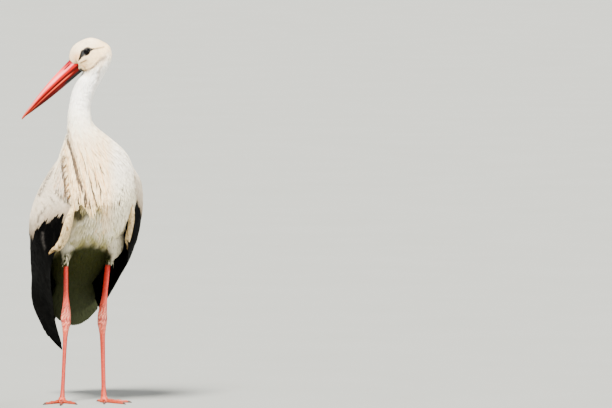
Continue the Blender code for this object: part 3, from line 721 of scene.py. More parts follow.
def thighSurface(side):
    shankX = legSettings[side][0]
    inward = 6 * mm - shankX
    flank = np.array(((0, 3), (0.1, 12), (0.25, 17), (0.5, 17), (1, 10))) * (1, mm * (side == "left"))
    tall = np.array((0, 1, 0.2)) / math.hypot(1, 0.2)

    def surface(s, angle, share):
        # a cone of feathers from the belly (s = 0) to where it closes round the shank (s = 1)
        s, angle, share = together(s, angle, share)
        rise = 1 - s
        radius = np.interp(rise, (-0.3, 0, 0.15, 0.4, 0.7, 1), (9.5, 12.5, 17, 26, 35, 38)) * mm
        radius = radius - (1.5 + 4.5 * np.clip(rise, 0, 1)) * mm * (1 - share)
        swell = np.interp(rise, flank[:, 0], flank[:, 1])
        centre = np.stack([shankX + inward * 0.18 * rise + swell, legSettings["y"] - (2 + 26 * rise) * mm,
                           legSettings["featherEnd"] + 78 * mm * rise], -1)
        return (centre + np.array((1.0, 0, 0)) * (np.cos(angle) * radius * 0.82)[..., None]
                + tall * (np.sin(angle) * radius * 1.17)[..., None] + originShift)
    return surface


def nearLeg(points):
    # 1 within a hand's breadth of a leg's own line below the thighs, 0 away from it
    line = [np.array([np.interp(points[:, 2], table[::-1, 2], table[::-1, k]) for k in (0, 1)]).T
            for table in (legTable("left"), legTable("right"))]
    gap = [np.linalg.norm(points[:, :2] - originShift[:2] - k, axis=1) for k in line]
    high = 1 - smooth(np.minimum(*gap), 15 * mm, 19 * mm)
    return np.where(points[:, 2] < 60 * mm, 1.0, high)


def skinTint(points):
    # legs by height, the rest as the plumage that covers it, with painted olive shade low on the body and
    # under it; the face's black skin as in the plumage
    z = points[:, 2]
    c = legColours
    leg = mixed(c["foot"], c["tarsus"], smooth(z, 10 * mm, 40 * mm))
    leg = mixed(leg, c["ankle"], bump(z, 196 * mm, 26 * mm))
    leg = mixed(leg, c["shankPale"], smooth(z, 205 * mm, 235 * mm))
    leg = mixed(leg, c["shank"], smooth(z, 236 * mm, 300 * mm))
    x = points[:, 0] / mm
    mottle = np.sin(x * 1.9 + 2 * np.sin(z / mm * 0.31)) * np.sin(z / mm * 0.57 + x)
    near = bump(z, 208 * mm, 30 * mm)
    leg = mixed(leg, c["pinkScale"], smooth(mottle, 0.05, 0.5) * near * 0.95)
    wavy = z + 3 * mm * np.sin(x * 0.8 + points[:, 1] / mm * 0.5)
    marks = (bump(wavy, 199 * mm, 4 * mm) + bump(wavy, 186 * mm, 1.6 * mm)
             + 0.7 * bump(wavy, 232 * mm, 1.8 * mm))
    leg = mixed(leg, c["band"], (marks * 0.9 + smooth(-mottle, 0.2, 0.7) * near * 0.75).clip(0, 0.92))
    a, side, up = headPlace(points)
    body = np.tile(plumageColours["breast"], (len(points), 1))
    # painted shade: olive grey low on the body
    below = smooth(z, 470 * mm, 400 * mm)[:, None]
    body = body * (1 - below) + plumageColours["ventShade"] * below
    onHead = smooth(z, 745 * mm, 775 * mm)
    body = mixed(body, plumageColours["cheek"], onHead)
    body = mixed(body, plumageColours["black"], eyePatch(points) * onHead)
    chin = smooth(a, 2 * mm, 8 * mm) * smooth(-up, 4 * mm, 8 * mm) * onHead
    body = mixed(body, plumageColours["black"], chin)
    # painted shade: the underside's deep olive under the belly
    body = mixed(body, undersideShade(points), shadeUnder(points))
    return mixed(body, leg, nearLeg(points) * (1 - smooth(z, 328 * mm, 334 * mm)))


def helperMesh(name, points, uvLow, uvHigh):
    # a closed tube from a grid of rings, with a map of its own rows and columns in one corner of OFBake
    grid = closedTube(points)
    rows, columns = grid.shape[:2]
    faces = gridQuads(rows, columns)
    v, u = np.meshgrid(np.linspace(uvLow[1], uvHigh[1], rows), np.linspace(uvLow[0], uvHigh[0], columns + 1),
                       indexing="ij")
    quadCorner = np.array(((0, 0), (0, 1), (1, 1), (1, 0)))
    cell = np.arange(len(faces))
    i, j = cell // columns, cell % columns
    corners = np.stack([u[i[:, None] + quadCorner[:, 0], j[:, None] + quadCorner[:, 1]],
                        v[i[:, None] + quadCorner[:, 0], j[:, None] + quadCorner[:, 1]]], -1)
    made = addPiece(name, grid.reshape(-1, 3), faces, bareSkin, None)
    layer = made.data.uv_layers.new(name="OFBake")
    layer.data.foreach_set("uv", corners.astype(np.float32).ravel())
    return made


def outwards(made):
    bm = bmesh.new()
    bm.from_mesh(made.data)
    bmesh.ops.remove_doubles(bm, verts=bm.verts, dist=0.01 * mm)
    bmesh.ops.recalc_face_normals(bm, faces=bm.faces)
    bm.to_mesh(made.data)
    bm.free()


def fleshNodes():
    names = ["head", "neck_upper", "neck_middle", "neck_lower", "breast", "trunk", "rump"]
    for side in ("left", "right"):
        names += [f"{part}_{side}" for part in ("thigh", "shank", "ankle", "tarsus", "foot")]
        names += [f"toe_{side}_{row[0]}" for row in toeRows]
    return names


# the body's share of the OFBake square, and how a place on the sweep falls in it
bodyMap = (0.02, 0.02, 0.78, 0.98)


def bodyBake(s, angle):
    low = np.array(bodyMap[:2])
    size = np.array(bodyMap[2:]) - low
    return low + size * np.stack([np.mod(angle / turn, 1), np.clip(s / sweepEnd, 0, 1)], -1)


def sweepSkin():
    s = np.concatenate([np.linspace(0, headEnd, 110, endpoint=False), np.linspace(headEnd, sweepEnd, 130)])
    angle = np.linspace(0, turn, 84, endpoint=False)
    points = bodySurface(s[:, None], angle[None, :], 0.0)
    flat = points.reshape(-1, 3)
    outward = unit(points - points.mean(1, keepdims=True)).reshape(-1, 3)
    onHead = np.repeat(1 - smooth(s, headEnd - 2, headEnd), len(angle))
    flat = flat + outward * (headRelief(flat) * onHead)[:, None]
    return helperMesh("skinBody", flat.reshape(points.shape), bodyMap[:2], bodyMap[2:])


eyeSettings = {"radius": 8.5 * mm, "a": -31 * mm, "side": 19.3 * mm, "up": 11.5 * mm}


def lidRing(way):
    # a thick almond ring round the eye: its path is an oval, a little drawn out fore and aft
    around = np.linspace(0, turn, 40, endpoint=False)
    tube = np.linspace(0, turn, 12, endpoint=False)
    wide, high = 8.6 * mm, 7.2 * mm
    corner = 1 + 0.12 * np.abs(np.cos(around)) ** 6
    centreA = eyeSettings["a"] + wide * corner * np.cos(around)
    centreUp = eyeSettings["up"] + high * np.sin(around) + 0.8 * mm * np.cos(around)
    bulge = eyeSettings["side"] + 3.6 * mm - 1.8 * mm * np.abs(np.cos(around)) ** 2
    thick = (1.5 + 0.5 * np.sin(around)) * mm
    a = centreA[:, None] + thick[:, None] * np.cos(around)[:, None] * np.cos(tube)[None, :]
    up = centreUp[:, None] + thick[:, None] * np.sin(around)[:, None] * np.cos(tube)[None, :]
    side = bulge[:, None] + thick[:, None] * np.sin(tube)[None, :]
    points = inHead(a, way * side, up)
    faces = gridQuads(len(around) + 1, len(tube))
    faces = np.mod(faces, len(around) * len(tube))
    return addPiece(f"skinLid{way}", points.reshape(-1, 3), faces, bareSkin, None)


def buildSkin():
    angle = np.linspace(0, turn, 28, endpoint=False)
    parts = []
    for number, side in enumerate(("left", "right")):
        x = 0.8 + 0.1 * number
        leg = legSurface(side)(np.linspace(0, 12, 110)[:, None], angle[None, :], 0.0)
        parts.append(helperMesh("skinLeg" + side, leg, (x, 0.5), (x + 0.09, 0.98)))
        thigh = thighSurface(side)(np.linspace(-0.1, 1.0, 20)[:, None], angle[None, :], 0.0)
        parts.append(helperMesh("skinThigh" + side, thigh, (x, 0.3), (x + 0.09, 0.48)))
        pad = padSurface(side)(np.linspace(0, 1, 10)[:, None], angle[None, :], 0.0)
        parts.append(helperMesh("skinPad" + side, pad, (x, 0.24), (x + 0.09, 0.29)))
        for place, row in enumerate(toeRows):
            toe = toeSurface(side, row[0])(np.linspace(0, 1, 40)[:, None], angle[None, :20] * 1.4, 0.0)
            low = (x, 0.02 + 0.05 * place)
            parts.append(helperMesh(f"skinToe{side}{row[0]}", toe, low, (x + 0.09, low[1] + 0.045)))
    parts += [lidRing(way) for way in (1, -1)]
    base = sweepSkin()
    group = bpy.data.collections.new("skinParts")
    for part in parts + [base]:
        outwards(part)
    for part in parts:
        group.objects.link(part)
    joined = base.modifiers.new("one skin", "BOOLEAN")
    joined.operation = "UNION"
    joined.solver = "EXACT"
    joined.operand_type = "COLLECTION"
    joined.collection = group
    evaluated = base.evaluated_get(bpy.context.evaluated_depsgraph_get())
    mesh = bpy.data.meshes.new_from_object(evaluated)
    for part in parts + [base]:
        bpy.data.objects.remove(part)
    bpy.data.collections.remove(group)
    mesh.name = "skin"
    points = np.empty(len(mesh.vertices) * 3, np.float32)
    mesh.vertices.foreach_get("co", points)
    points = points.reshape(-1, 3).astype(float)
    tint = mesh.attributes.new("tint", "FLOAT_COLOR", "POINT")
    tint.data.foreach_set("color", np.c_[skinTint(points), np.ones(len(points))].astype(np.float32).ravel())
    mesh.shade_smooth()
    mesh.materials.clear()
    mesh.materials.append(bareSkin)
    skin = bpy.data.objects.new("skin", mesh)
    bpy.context.scene.collection.objects.link(skin)
    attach(skin, "root")
    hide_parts(*fleshNodes())
    print("skin faces", len(mesh.polygons))


buildSkin()

print("stage 5: bill, eyes and claws")

billSettings = {"length": 193.5 * mm, "gap": 0.15 * mm, "nostril": (19 * mm, 39 * mm), "grooveEnd": 0.62}
billColours = {
    "base": paint(96, 14, 34), "upper": paint(112, 8, 16), "pale": paint(204, 98, 98),
               "litHighlight": paint(236, 176, 172), "tip": paint(104, 56, 40),
    "edge": paint(14, 1, 2), "lower": paint(60, 0, 1), "lowerPale": paint(200, 96, 80),
    "black": paint(6, 6, 9), "baseHighlight": paint(214, 128, 138),
}


def hornMaterial(name, roughness, strands, **constant):
    # horn: its own tint under long fine strands that run from base to tip, and small pits
    made, tree, shader = newMaterial(name, roughness, **constant)
    lie = addNode(tree, "ShaderNodeAttribute", attribute_name="vane")
    stretch = addNode(tree, "ShaderNodeMapping")
    stretch.inputs["Scale"].default_value = (strands, 5.0, 1.0)
    tree.links.new(lie.outputs["Vector"], stretch.inputs["Vector"])
    noise = addNode(tree, "ShaderNodeTexNoise", Scale=1.0, Detail=5.0)
    tree.links.new(stretch.outputs["Vector"], noise.inputs["Vector"])
    grain = noise.outputs["Fac"]
    pits = placedTexture(tree, "ShaderNodeTexNoise", Scale=700.0, Detail=3.0).outputs["Fac"]
    height = mathNode(tree, "ADD", grain, mathNode(tree, "MULTIPLY", pits, 0.3))
    rough = ranged(tree, grain, roughness - 0.08, roughness + 0.12, 0.3, 0.7)
    finishTinted(tree, shader, ranged(tree, grain, 0.72, 1.2, 0.3, 0.7), rough, height, 0.35, 0.0005)
    return made


billHorn = hornMaterial("bill horn", 0.42, 60.0, Specular_IOR_Level=0.12)
clawHorn = hornMaterial("claw horn", 0.4, 24.0)


def billLine(t):
    # heights along the bill: culmen, mouth line, lower edge and half width
    blunt = 2.2 * mm * smooth(t, 0.75, 0.95) * (1 - smooth(t, 0.975, 1.0)) ** 0.5
    top = (25 - 8 * t) * mm * (1 - t**3.2) + blunt
    mouth = 4.5 * np.sin(np.pi * np.minimum(t * 1.05, 1.0)) ** 0.8 * mm
    bottom = -(16.6 - 9.6 * t) * mm * (1 - t**5) + 2.5 * mm * t**2 - 0.3 * blunt
    wide = (13.2 * (1 - t) ** 0.8 + 1.4) * mm
    return top, mouth, bottom, wide


def buildBill(upper):
    # a D-shaped tube: cos(angle) * half width across, sin(angle)^0.85 * rise away from the mouth line,
    # with a rolled cutting edge, and on the upper half a groove along each side that holds the nostril
    name = "bill_upper" if upper else "bill_lower"
    t = (np.linspace(0, 1, 140) ** 0.9 * 0.995)[:, None]
    angle = np.linspace(0, math.pi, 61)[None, :]
    top, mouth, bottom, wide = billLine(t)
    rise = np.maximum((top - mouth if upper else mouth - bottom) - billSettings["gap"], 0.6 * mm)
    x = np.cos(angle)
    y = np.maximum(np.sin(angle), 0) ** 0.85
    lip = bump(y, 0.13, 0.09) * 0.35 * mm * (1 - t)
    across = x * wide + np.sign(x) * lip
    level = y * rise + 0 * x
    a = t * billSettings["length"] + 0 * x
    inward = np.zeros_like(a)
    if upper:
        line = 0.66 + 0.04 * t
        groove = bump(y, line, 0.06) * (1 - smooth(t, 0.25, billSettings["grooveEnd"])) * 0.55 * mm
        start, end = billSettings["nostril"]
        slit = bump(y, line, 0.055) * smooth(a, start, start + 3 * mm) * (1 - smooth(a, end - 3 * mm, end))
        inward = groove + slit * 2.0 * mm
        across = across - np.sign(x) * inward * (1 - smooth(y, 0.8, 1.0))
    way = 1 if upper else -1
    points = inHead(a, across, mouth + way * (billSettings["gap"] + level))
    c = billColours
    strip = np.broadcast_to(y, a.shape)
    if upper:
        # painted light: the upper mandible paler up its side, with painted highlights in a band along it and
        # at its base
        tint = mixed(c["upper"], c["pale"], smooth(strip, 0.3, 0.55) * smooth(t, 0.04, 0.2) * 0.85)
        tint = mixed(tint, c["litHighlight"], bump(strip, 0.55 + 0.3 * t, 0.12) * smooth(t, 0.1, 0.3) * 0.6)
        tint = mixed(tint, c["baseHighlight"], bump(strip, 0.5, 0.09) * smooth(t, 0.0, 0.06)
                     * (1 - smooth(t, 0.3, 0.6)) * 0.8)
        # painted shade on the top of the bill's base
        tint = mixed(tint, c["base"], (1 - smooth(t, 0.08, 0.3)) * smooth(strip, 0.62, 0.9))
        # painted shade in the groove and the nostril
        tint = mixed(tint, c["edge"], np.clip(inward / (1.6 * mm), 0, 1) * 0.8)
    else:
        tint = mixed(c["lower"], c["lowerPale"], bump(strip, 0.22, 0.07) * smooth(t, 0.1, 0.25) * 0.95)
        chin = smooth(strip, 0.5, 0.62) * (1 - smooth(t, 0.26, 0.36))
        tint = mixed(tint, c["black"], chin)
    tint = tint * (1 - 0.35 * smooth(t, 0.35, 0.75))[..., None]
    tint = mixed(tint, c["tip"], smooth(t, 0.72, 1.0) * 0.7 + 0 * x)
    # painted shade along the mouth line between the mandibles
    tint = mixed(tint, c["edge"], 1 - smooth(strip, 0.04, 0.13))
    grid = closedTube(points)
    tint = np.concatenate([tint[:1], tint, tint[-1:]]).reshape(-1, 3)
    rows, columns = grid.shape[:2]
    around = np.tile(np.linspace(0, 1, columns), rows)
    down = np.repeat(np.linspace(0, 1, rows), columns)
    lie = np.stack([around, down, 0 * down], -1)
    layers = layersOf(tint, lie)
    bill = addPiece(name + "_horn", grid.reshape(-1, 3), gridQuads(rows, columns), billHorn, "bill", layers,
                    lie[:, :2] * 0.96 + 0.02, keepSharp=55)
    outwards(bill)
    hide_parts(name)


def eyeMaterial():
    # clear wet cornea over a dark brown iris; the pupil and the iris come from the tint layer
    made, tree, shader = newMaterial("wet eye", 0.12, Specular_IOR_Level=0.12)
    fine = placedTexture(tree, "ShaderNodeTexNoise", Scale=900.0, Detail=3.0).outputs["Fac"]
    finishTinted(tree, shader, ranged(tree, fine, 0.6, 1.3, 0.3, 0.7), ranged(tree, fine, 0.09, 0.15))
    return made


wetEye = eyeMaterial()
irisColours = {"pupil": paint(2, 2, 3), "iris": paint(13, 9, 8), "rim": paint(8, 7, 7)}


def buildEye(label, way):
    # a ball with its pole facing out of the head: centre + radius * (cos(polar) * out + sin(polar) * round
    # it)
    polar = np.linspace(0.02, math.pi - 0.02, 36)[:, None]
    around = np.linspace(0, turn, 48, endpoint=False)[None, :]
    radius = eyeSettings["radius"] - 0.2 * mm
    bulge = radius * (1 + 0.03 * bump(polar, 0, 0.5))
    side = eyeSettings["side"] + bulge * np.cos(polar) + 0 * around
    a = eyeSettings["a"] + bulge * np.sin(polar) * np.cos(around)
    up = eyeSettings["up"] + bulge * np.sin(polar) * np.sin(around)
    grid = closedTube(inHead(a, way * side, up))
    out = np.concatenate([[0], polar[:, 0], [math.pi]])
    c = irisColours
    tint = mixed(c["pupil"], c["iris"], smooth(out, 0.34, 0.40))
    tint = mixed(tint, c["rim"], smooth(out, 0.66, 0.74)).repeat(48, 0)
    layers = {"tint": np.c_[tint, np.ones(len(tint))]}
    bake = np.stack([np.tile(np.linspace(0, 1, 48), 38), np.repeat(out / math.pi, 48)], -1) * 0.96 + 0.02
    ball = addPiece(f"eyeball_{label}", grid.reshape(-1, 3), gridQuads(38, 48), wetEye, "eye", layers, bake)
    outwards(ball)
    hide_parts(f"eye_{label}")


def buildClaws(side):
    # each claw: a flat-soled cone that bends down to its point, half * (1 - t)^0.7 wide
    swing = legSettings[side][3]
    way = 1 if side == "left" else -1
    foot = np.array((legSettings[side][2], legSettings["y"], 0)) + originShift
    t = np.linspace(0, 1, 16)[:, None]
    angle = (np.linspace(0, turn, 16, endpoint=False) + 0.2)[None, :]
    points, faces, lies, names = [], [], [], []
    for label, heading, length, half in toeRows:
        out = math.radians(heading) * way + swing
        across, forward = flatAxes(out)
        wide = (half * 0.52 * (1 - t) ** 0.7 + 0.25) * mm
        tall = half * 1.15 * mm * (1 - 0.8 * t) * (1 + 0.25 * np.sin(math.pi * t))
        z = np.maximum(0.5 * tall * (1 + 1.2 * np.sin(angle)), 0)
        reach = (length - 0.5) * mm + (clawLength + 0.5 * mm) * t + 0 * angle
        ring = (foot + forward * reach[..., None] + across * (wide * np.cos(angle))[..., None]
                + np.array((0, 0, 1.0)) * z[..., None])
        grid = closedTube(ring)
        faces.append(gridQuads(*grid.shape[:2]) + sum(len(k) for k in points))
        points.append(grid.reshape(-1, 3))
        down = np.repeat(np.linspace(0, 1, grid.shape[0]), 16)
        lies.append(np.stack([np.tile(np.arange(16) / 16, grid.shape[0]), down, 0 * down], -1))
        names.append(f"claw_{side}_{label}")
    lie = np.concatenate(lies)
    tint = mixed(paint(74, 52, 42), paint(30, 24, 22), lie[:, 1])
    layers = layersOf(tint, lie)
    claws = addPiece(f"claws_{side}", np.concatenate(points), np.concatenate(faces), clawHorn, "claw",
                     layers,
                     lie[:, :2] * 0.96 + 0.02)
    outwards(claws)
    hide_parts(*names)


for part in (True, False):
    buildBill(part)
for label, way in (("left", 1), ("right", -1)):
    buildEye(label, way)
    buildClaws(label)

print("stage 6: body plumage")


def featherPiece(name, batches, finish, slotName, bake, tintOf, patch=0.0015):
    # Joins batches of feathers into one piece. A feather's map is a patch 0.003 across at its root's place,
    # and its tint is that of its root, with painted shade towards its root and a little different from its
    # neighbours'.
    points, faces, vanes, maps, tints, start = [], [], [], [], [], 0
    for field, s, angle in batches:
        p, f, v = field
        per = len(p) // len(s)
        points.append(p)
        faces.append(f + start)
        vanes.append(v)
        maps.append(np.repeat(bake(s, angle), per, 0) + (v[:, :2] - (0, 0.5)) * (patch, 2 * patch))
        tints.append(tintOf(p, np.repeat(s, per), np.repeat(angle, per), v))
        start += len(p)
    points, faces, vanes = np.concatenate(points), np.concatenate(faces), np.concatenate(vanes)
    tint = np.concatenate(tints)
    layers = layersOf(np.clip(tint, 0, 1), vanes)
    addPiece(name, points, faces, finish, slotName, layers, np.concatenate(maps), keepSharp=70)
    print(name, "feathers", sum(len(k[1]) for k in batches), "triangles", 2 * len(faces))


def shaded(tint, vane, rootShade=0.22, spread=0.09):
    # painted shade towards the root, where the feather above lies over it, and one random tone per feather
    light = (1 - rootShade * (1 - smooth(vane[:, 1], 0, 0.55))) * (1 + spread * (vane[:, 2] - 0.5) * 2)
    return tint * light[:, None]


def bodyTint(p, s, angle, vane):
    return shaded(coatTint(p, s, angle), vane)


def batch(surface, s, angle, **settings):
    return vaneField(surface, s, angle, **settings), s, angle


def varied(count, middle, spread):
    return middle * (1 + spread * (2 * dice.random(count) - 1))


def laid(surface, s, angle, coat, grown=1.0, longer=1.0, lean=0.0):
    # feathers at the given roots: length * grown * longer, width * grown to the power `fuller`, leans spread
    # about their middle and tips about their height, each size drawn round the coat's own (middle, spread)
    count = len(s)
    return batch(surface, s, angle, length=varied(count, *coat["long"]) * grown * longer,
                 width=varied(count, *coat["wide"]) * grown ** coat["fuller"],
                 lean=lean + coat["lean"] * (dice.random(count) - 0.5), low=coat["low"],
                 high=varied(count, *coat["high"]), **coat["vane"])


# Each coat: gaps between rows and along them, then length, width and the tips' height as (middle, spread).
headCoat = {"gaps": (1.25 * mm, 1.4 * mm), "long": (5.2 * mm, 0.25), "wide": (2.3 * mm, 0.2), "fuller": 0.6,
            "lean": 0.25, "low": 0.05, "high": (0.85, 0.3), "vane": {"shape": "tuft", "steps": 3}}
neckCoat = {"gaps": (2.3 * mm, 2.3 * mm), "long": (13 * mm, 0.3), "wide": (3.6 * mm, 0.25), "fuller": 0.5,
            "lean": 0.3, "low": 0.1, "high": (0.8, 0.3), "vane": {"shape": "lance", "steps": 4}}
breastCoat = {"gaps": (4.6 * mm, 3.4 * mm), "long": (40 * mm, 0.25), "wide": (4.6 * mm, 0.25), "fuller": 0.3,
              "lean": 0.2, "low": 0.25, "high": (0.9, 0.13),
              "vane": {"shape": "lance", "steps": 7, "camber": 0.1}}
onwardCoat = {"long": (30 * mm, 0.3), "wide": (5.5 * mm, 0.25), "fuller": 1, "lean": 0.24, "low": 0.2,
              "high": (0.85, 0.2), "vane": {"shape": "lance", "steps": 6, "camber": 0.08}}
bellyCoat = {"gaps": (4.8 * mm, 5.2 * mm), "long": (22 * mm, 0.35), "wide": (5.5 * mm, 0.3), "fuller": 1,
             "lean": 0.5, "low": 0.1, "high": (0.8, 0.3),
             "vane": {"shape": "lance", "steps": 5, "camber": 0.06}}
backCoat = {"gaps": (6.6 * mm, 6.6 * mm), "long": (30 * mm, 0.2), "wide": (14 * mm, 0.2), "fuller": 1,
            "lean": 0.2, "low": 0.15, "high": (0.85, 0.15), "vane": {"shape": "round", "steps": 5}}
thighCoat = {"gaps": (5 * mm, 4.5 * mm), "long": (20 * mm, 0.3), "wide": (5.5 * mm, 0.25), "fuller": 1,
             "lean": 0.3, "low": 0.1, "high": (0.8, 0.3), "vane": {"shape": "lance", "steps": 5}}
flankStrands = {"count": 14, "long": (44 * mm, 0.25), "wide": (4.4 * mm, 0.3), "fuller": 1, "lean": 0.12,
                "low": 0.6, "high": (0.95, 0.1), "vane": {"shape": "lance", "steps": 7, "camber": 0.06}}
frontAngles = (math.radians(160), math.radians(380))


def hangingSurface(s, angle, share):
    # the outside of the breast plumes carried on past their step, for the ragged ends that hang over the
    # belly
    under = bodySurface(s, angle, share)
    lifted = bodySurface(np.minimum(s, fringe), angle, share)
    onward = (bodySurface(np.minimum(s, fringe), angle, 1.0)
              - bodySurface(np.minimum(s, fringe) - 0.05, angle, 1.0))
    over = np.maximum(s - fringe, 0)[..., None]
    hung = lifted + onward / 0.05 * over
    return np.where(over > 0, 0.35 * under + 0.65 * hung, under)


def sidePlaces(a, up, way):
    # the places on the sweep whose plumage lies at a and up on one side of the head
    s, angle = np.meshgrid(np.linspace(0, headEnd + 3, 240), np.linspace(-1.4, 1.4, 150), indexing="ij")
    s, angle = s.ravel(), angle.ravel() + (0 if way > 0 else math.pi)
    there, _, high = headPlace(bodySurface(s, angle, 0.9))
    nearest = ((there - a[:, None]) ** 2 + (high - up[:, None]) ** 2).argmin(1)
    return s[nearest], angle[nearest]


def headLineBatches():
    # narrow dark feathers end to end along each line, on both sides of the head: the creases' painted shade
    batches = []
    for name in ("brow", "gape", "jaw"):
        wide, much, line = headLines[name]
        line = np.array(line, float)
        run = np.concatenate([[0], np.cumsum(np.hypot(*np.diff(line, axis=0).T))])
        at = np.arange(0, run[-1], 1.6)
        count = len(at)
        ends = np.sin(math.pi * np.clip(at / run[-1], 0.06, 0.94)) ** 0.5 * (1 - 0.5 * at / run[-1])
        for way in (1, -1):
            a = np.interp(at, run, line[:, 0]) + 0.5 * (dice.random(count) - 0.5)
            up = np.interp(at, run, line[:, 1]) + 0.5 * (dice.random(count) - 0.5)
            s, angle = sidePlaces(a * mm, up * mm, way)
            batches.append(batch(bodySurface, s, angle, length=varied(count, 5 * mm, 0.3),
                                 width=wide * 0.42 * (0.4 + 0.6 * much) * ends * mm * varied(count, 1, 0.3),
                                 lean=0.3 * (dice.random(count) - 0.5), low=0.9, high=1.05, shape="lance",
                                 steps=3))
    return batches


def buildHeadCoat():
    s, angle = staggered(bodySurface, 0.25, 9.0, *headCoat["gaps"])
    here = bodySurface(s, angle, 0.5)
    a, side, up = headPlace(here)
    eyeGap = np.hypot((a - eyeSettings["a"]) / (11.5 * mm), (up - eyeSettings["up"]) / (10 * mm))
    chin = (a > 1 * mm) & (up < -6 * mm)
    kept = (eyePatch(here) < 0.35) & ~((eyeGap < 1) & (np.abs(side) > 10 * mm)) & ~chin
    s, angle = s[kept], angle[kept]
    field = laid(bodySurface, s, angle, headCoat, np.interp(s, (0, 2, 5, 9), (0.55, 0.75, 1.0, 1.7)))
    lines = headLineBatches()
    lineAt = np.concatenate([k[1] for k in lines])

    def tintOf(p, s, angle, vane):
        # the line feathers take the creases' painted shade
        dark = mixed(plumageColours["line"], plumageColours["creaseShade"], vane[:, 2])
        return np.where(np.isin(s, lineAt)[:, None], dark, bodyTint(p, s, angle, vane))
    featherPiece("headFeathers", [field] + lines, softWhite, "plumage", bodyBake, tintOf)


def buildNeckCoat():
    s, angle = staggered(bodySurface, 8.2, headEnd + 5.2, *neckCoat["gaps"])
    grown = np.interp(s, (8, 11, headEnd + 2, headEnd + 5), (0.6, 0.85, 1.1, 1.7))
    field = laid(bodySurface, s, angle, neckCoat, grown)
    featherPiece("neckFeathers", [field], softWhite, "plumage", bodyBake, bodyTint)


def frontPlaces(x, z):
    # the places on the sweep whose plumage lies at x and z on the front of the body
    s, angle = np.meshgrid(np.linspace(headEnd + 2, sweepEnd - 3, 260),
                           np.radians(np.linspace(185, 355, 180)),
                           indexing="ij")
    s, angle = s.ravel(), angle.ravel()
    here = bodySurface(s, angle, 0.9) - originShift
    gap = (here[None, :, 0] - np.asarray(x)[:, None]) ** 2 + (here[None, :, 2] - np.asarray(z)[:, None]) ** 2
    nearest = gap.argmin(1)
    return s[nearest], angle[nearest]


def creaseBatches():
    # rows of narrow feathers, dark as painted shade, that follow each crease, their lean that of the line
    batches = []
    for wide, *line in breastCreases.values():
        line = np.array(line, float)
        run = np.concatenate([[0], np.cumsum(np.hypot(*np.diff(line, axis=0).T))])
        count = max(int(run[-1] / 5), 2)
        at = np.linspace(0, run[-1], count, endpoint=False)
        z, x = np.interp(at, run, line[:, 0]), np.interp(at, run, line[:, 1])
        nextZ, nextX = np.interp(at + 3, run, line[:, 0]), np.interp(at + 3, run, line[:, 1])
        s, angle = frontPlaces(x * mm, z * mm)
        ends = np.interp(at / run[-1], (0, 0.2, 0.7, 1), (0.6, 1, 1, 0.6))
        batches.append(batch(bodySurface, s, angle, length=varied(count, 14 * mm, 0.2),
                             width=wide * 1.3 * ends * mm * varied(count, 1, 0.2),
                             lean=np.arctan2(nextX - x, z - nextZ) + 0.06 * (dice.random(count) - 0.5),
                             low=0.96, high=1.02, shape="lance", steps=4, camber=0.03))
    return batches


def buildBreastCoat():
    s, angle = staggered(bodySurface, headEnd + 4.3, fringe - 0.32, *breastCoat["gaps"], *frontAngles,
                         probe=1.5 * math.pi)
    grown = np.interp(s, (headEnd + 4.3, neckEnd, neckEnd + 1, fringe), (0.55, 0.8, 1.1, 1.15))
    onRight = 1 - smooth(np.cos(angle), 0.0, 0.5)
    main = laid(bodySurface, s, angle, breastCoat, grown, 0.7 + 0.3 * onRight, 0.14 * onRight)
    # the hanging ends: rows of plumes whose tips reach the fringe's own line
    rows = []
    for place, share in ((fringe - 0.42, 0.72), (fringe - 0.3, 0.86), (fringe - 0.18, 0.96),
                         (fringe - 0.08, 1.0),
                         (fringe - 0.02, 0.9)):
        n = 95
        edge = math.radians(205) + math.radians(95) * (np.arange(n) + dice.random(n)) / n
        start = bodySurface(np.full(n, place), edge, 0.8) - originShift
        tip = np.interp(start[:, 0] / mm + 3, fringeTips[:, 0], fringeTips[:, 1]) * mm
        drop = np.clip(start[:, 2] - tip, 10 * mm, 62 * mm) * 1.06
        held = (start[:, 0] > -53 * mm) & (start[:, 0] < 16 * mm)
        edge, drop, n = edge[held], drop[held], held.sum()
        rows.append(batch(hangingSurface, np.full(n, place) + 0.03 * (dice.random(n) - 0.5), edge,
                          length=drop * (share + 0.16 * (dice.random(n) - 0.5)),
                          width=varied(n, 4.6 * mm, 0.3),
                          lean=0.08 + 0.16 * (dice.random(n) - 0.5), low=0.5, high=varied(n, 0.85, 0.15),
                          shape="lance", steps=7, camber=0.08))

    # on the bird's left the plumes run on over the belly without an edge
    s, angle = staggered(bodySurface, fringe - 0.4, fringe + 1.0, *(k * 1.1 for k in breastCoat["gaps"]),
                         math.radians(262), frontAngles[1], probe=1.8 * math.pi)
    onward = bodySurface(s, angle, 0.9)[:, 0] - originShift[0]
    kept = onward > 4 * mm + 14 * mm * dice.random(len(s))
    rows.append(laid(bodySurface, s[kept], angle[kept], onwardCoat))

    creases = creaseBatches()
    creaseAt = np.concatenate([k[1] for k in creases])

    def tintOf(p, s, angle, vane):
        dark = np.isin(s, creaseAt)
        warm = smooth(vane[:, 2], 0.72, 0.8) * smooth(s, neckEnd - 1, neckEnd + 0.6) * 0.45
        warm = warm * (1 - smooth(p[:, 0] - originShift[0], 20 * mm, 50 * mm))
        plume = shaded(mixed(coatTint(p, s, angle), plumageColours["tan"], warm), vane, 0.34, 0.1)
        # the creases' own feathers take the furrows' painted shade
        creaseShade = mixed(plumageColours["furrowShade"], plumageColours["tan"], 0.12 * vane[:, 2])
        return np.where(dark[:, None], creaseShade, plume)
    featherPiece("breastPlumes", [main] + rows + creases, softWhite, "plumage", bodyBake, tintOf)


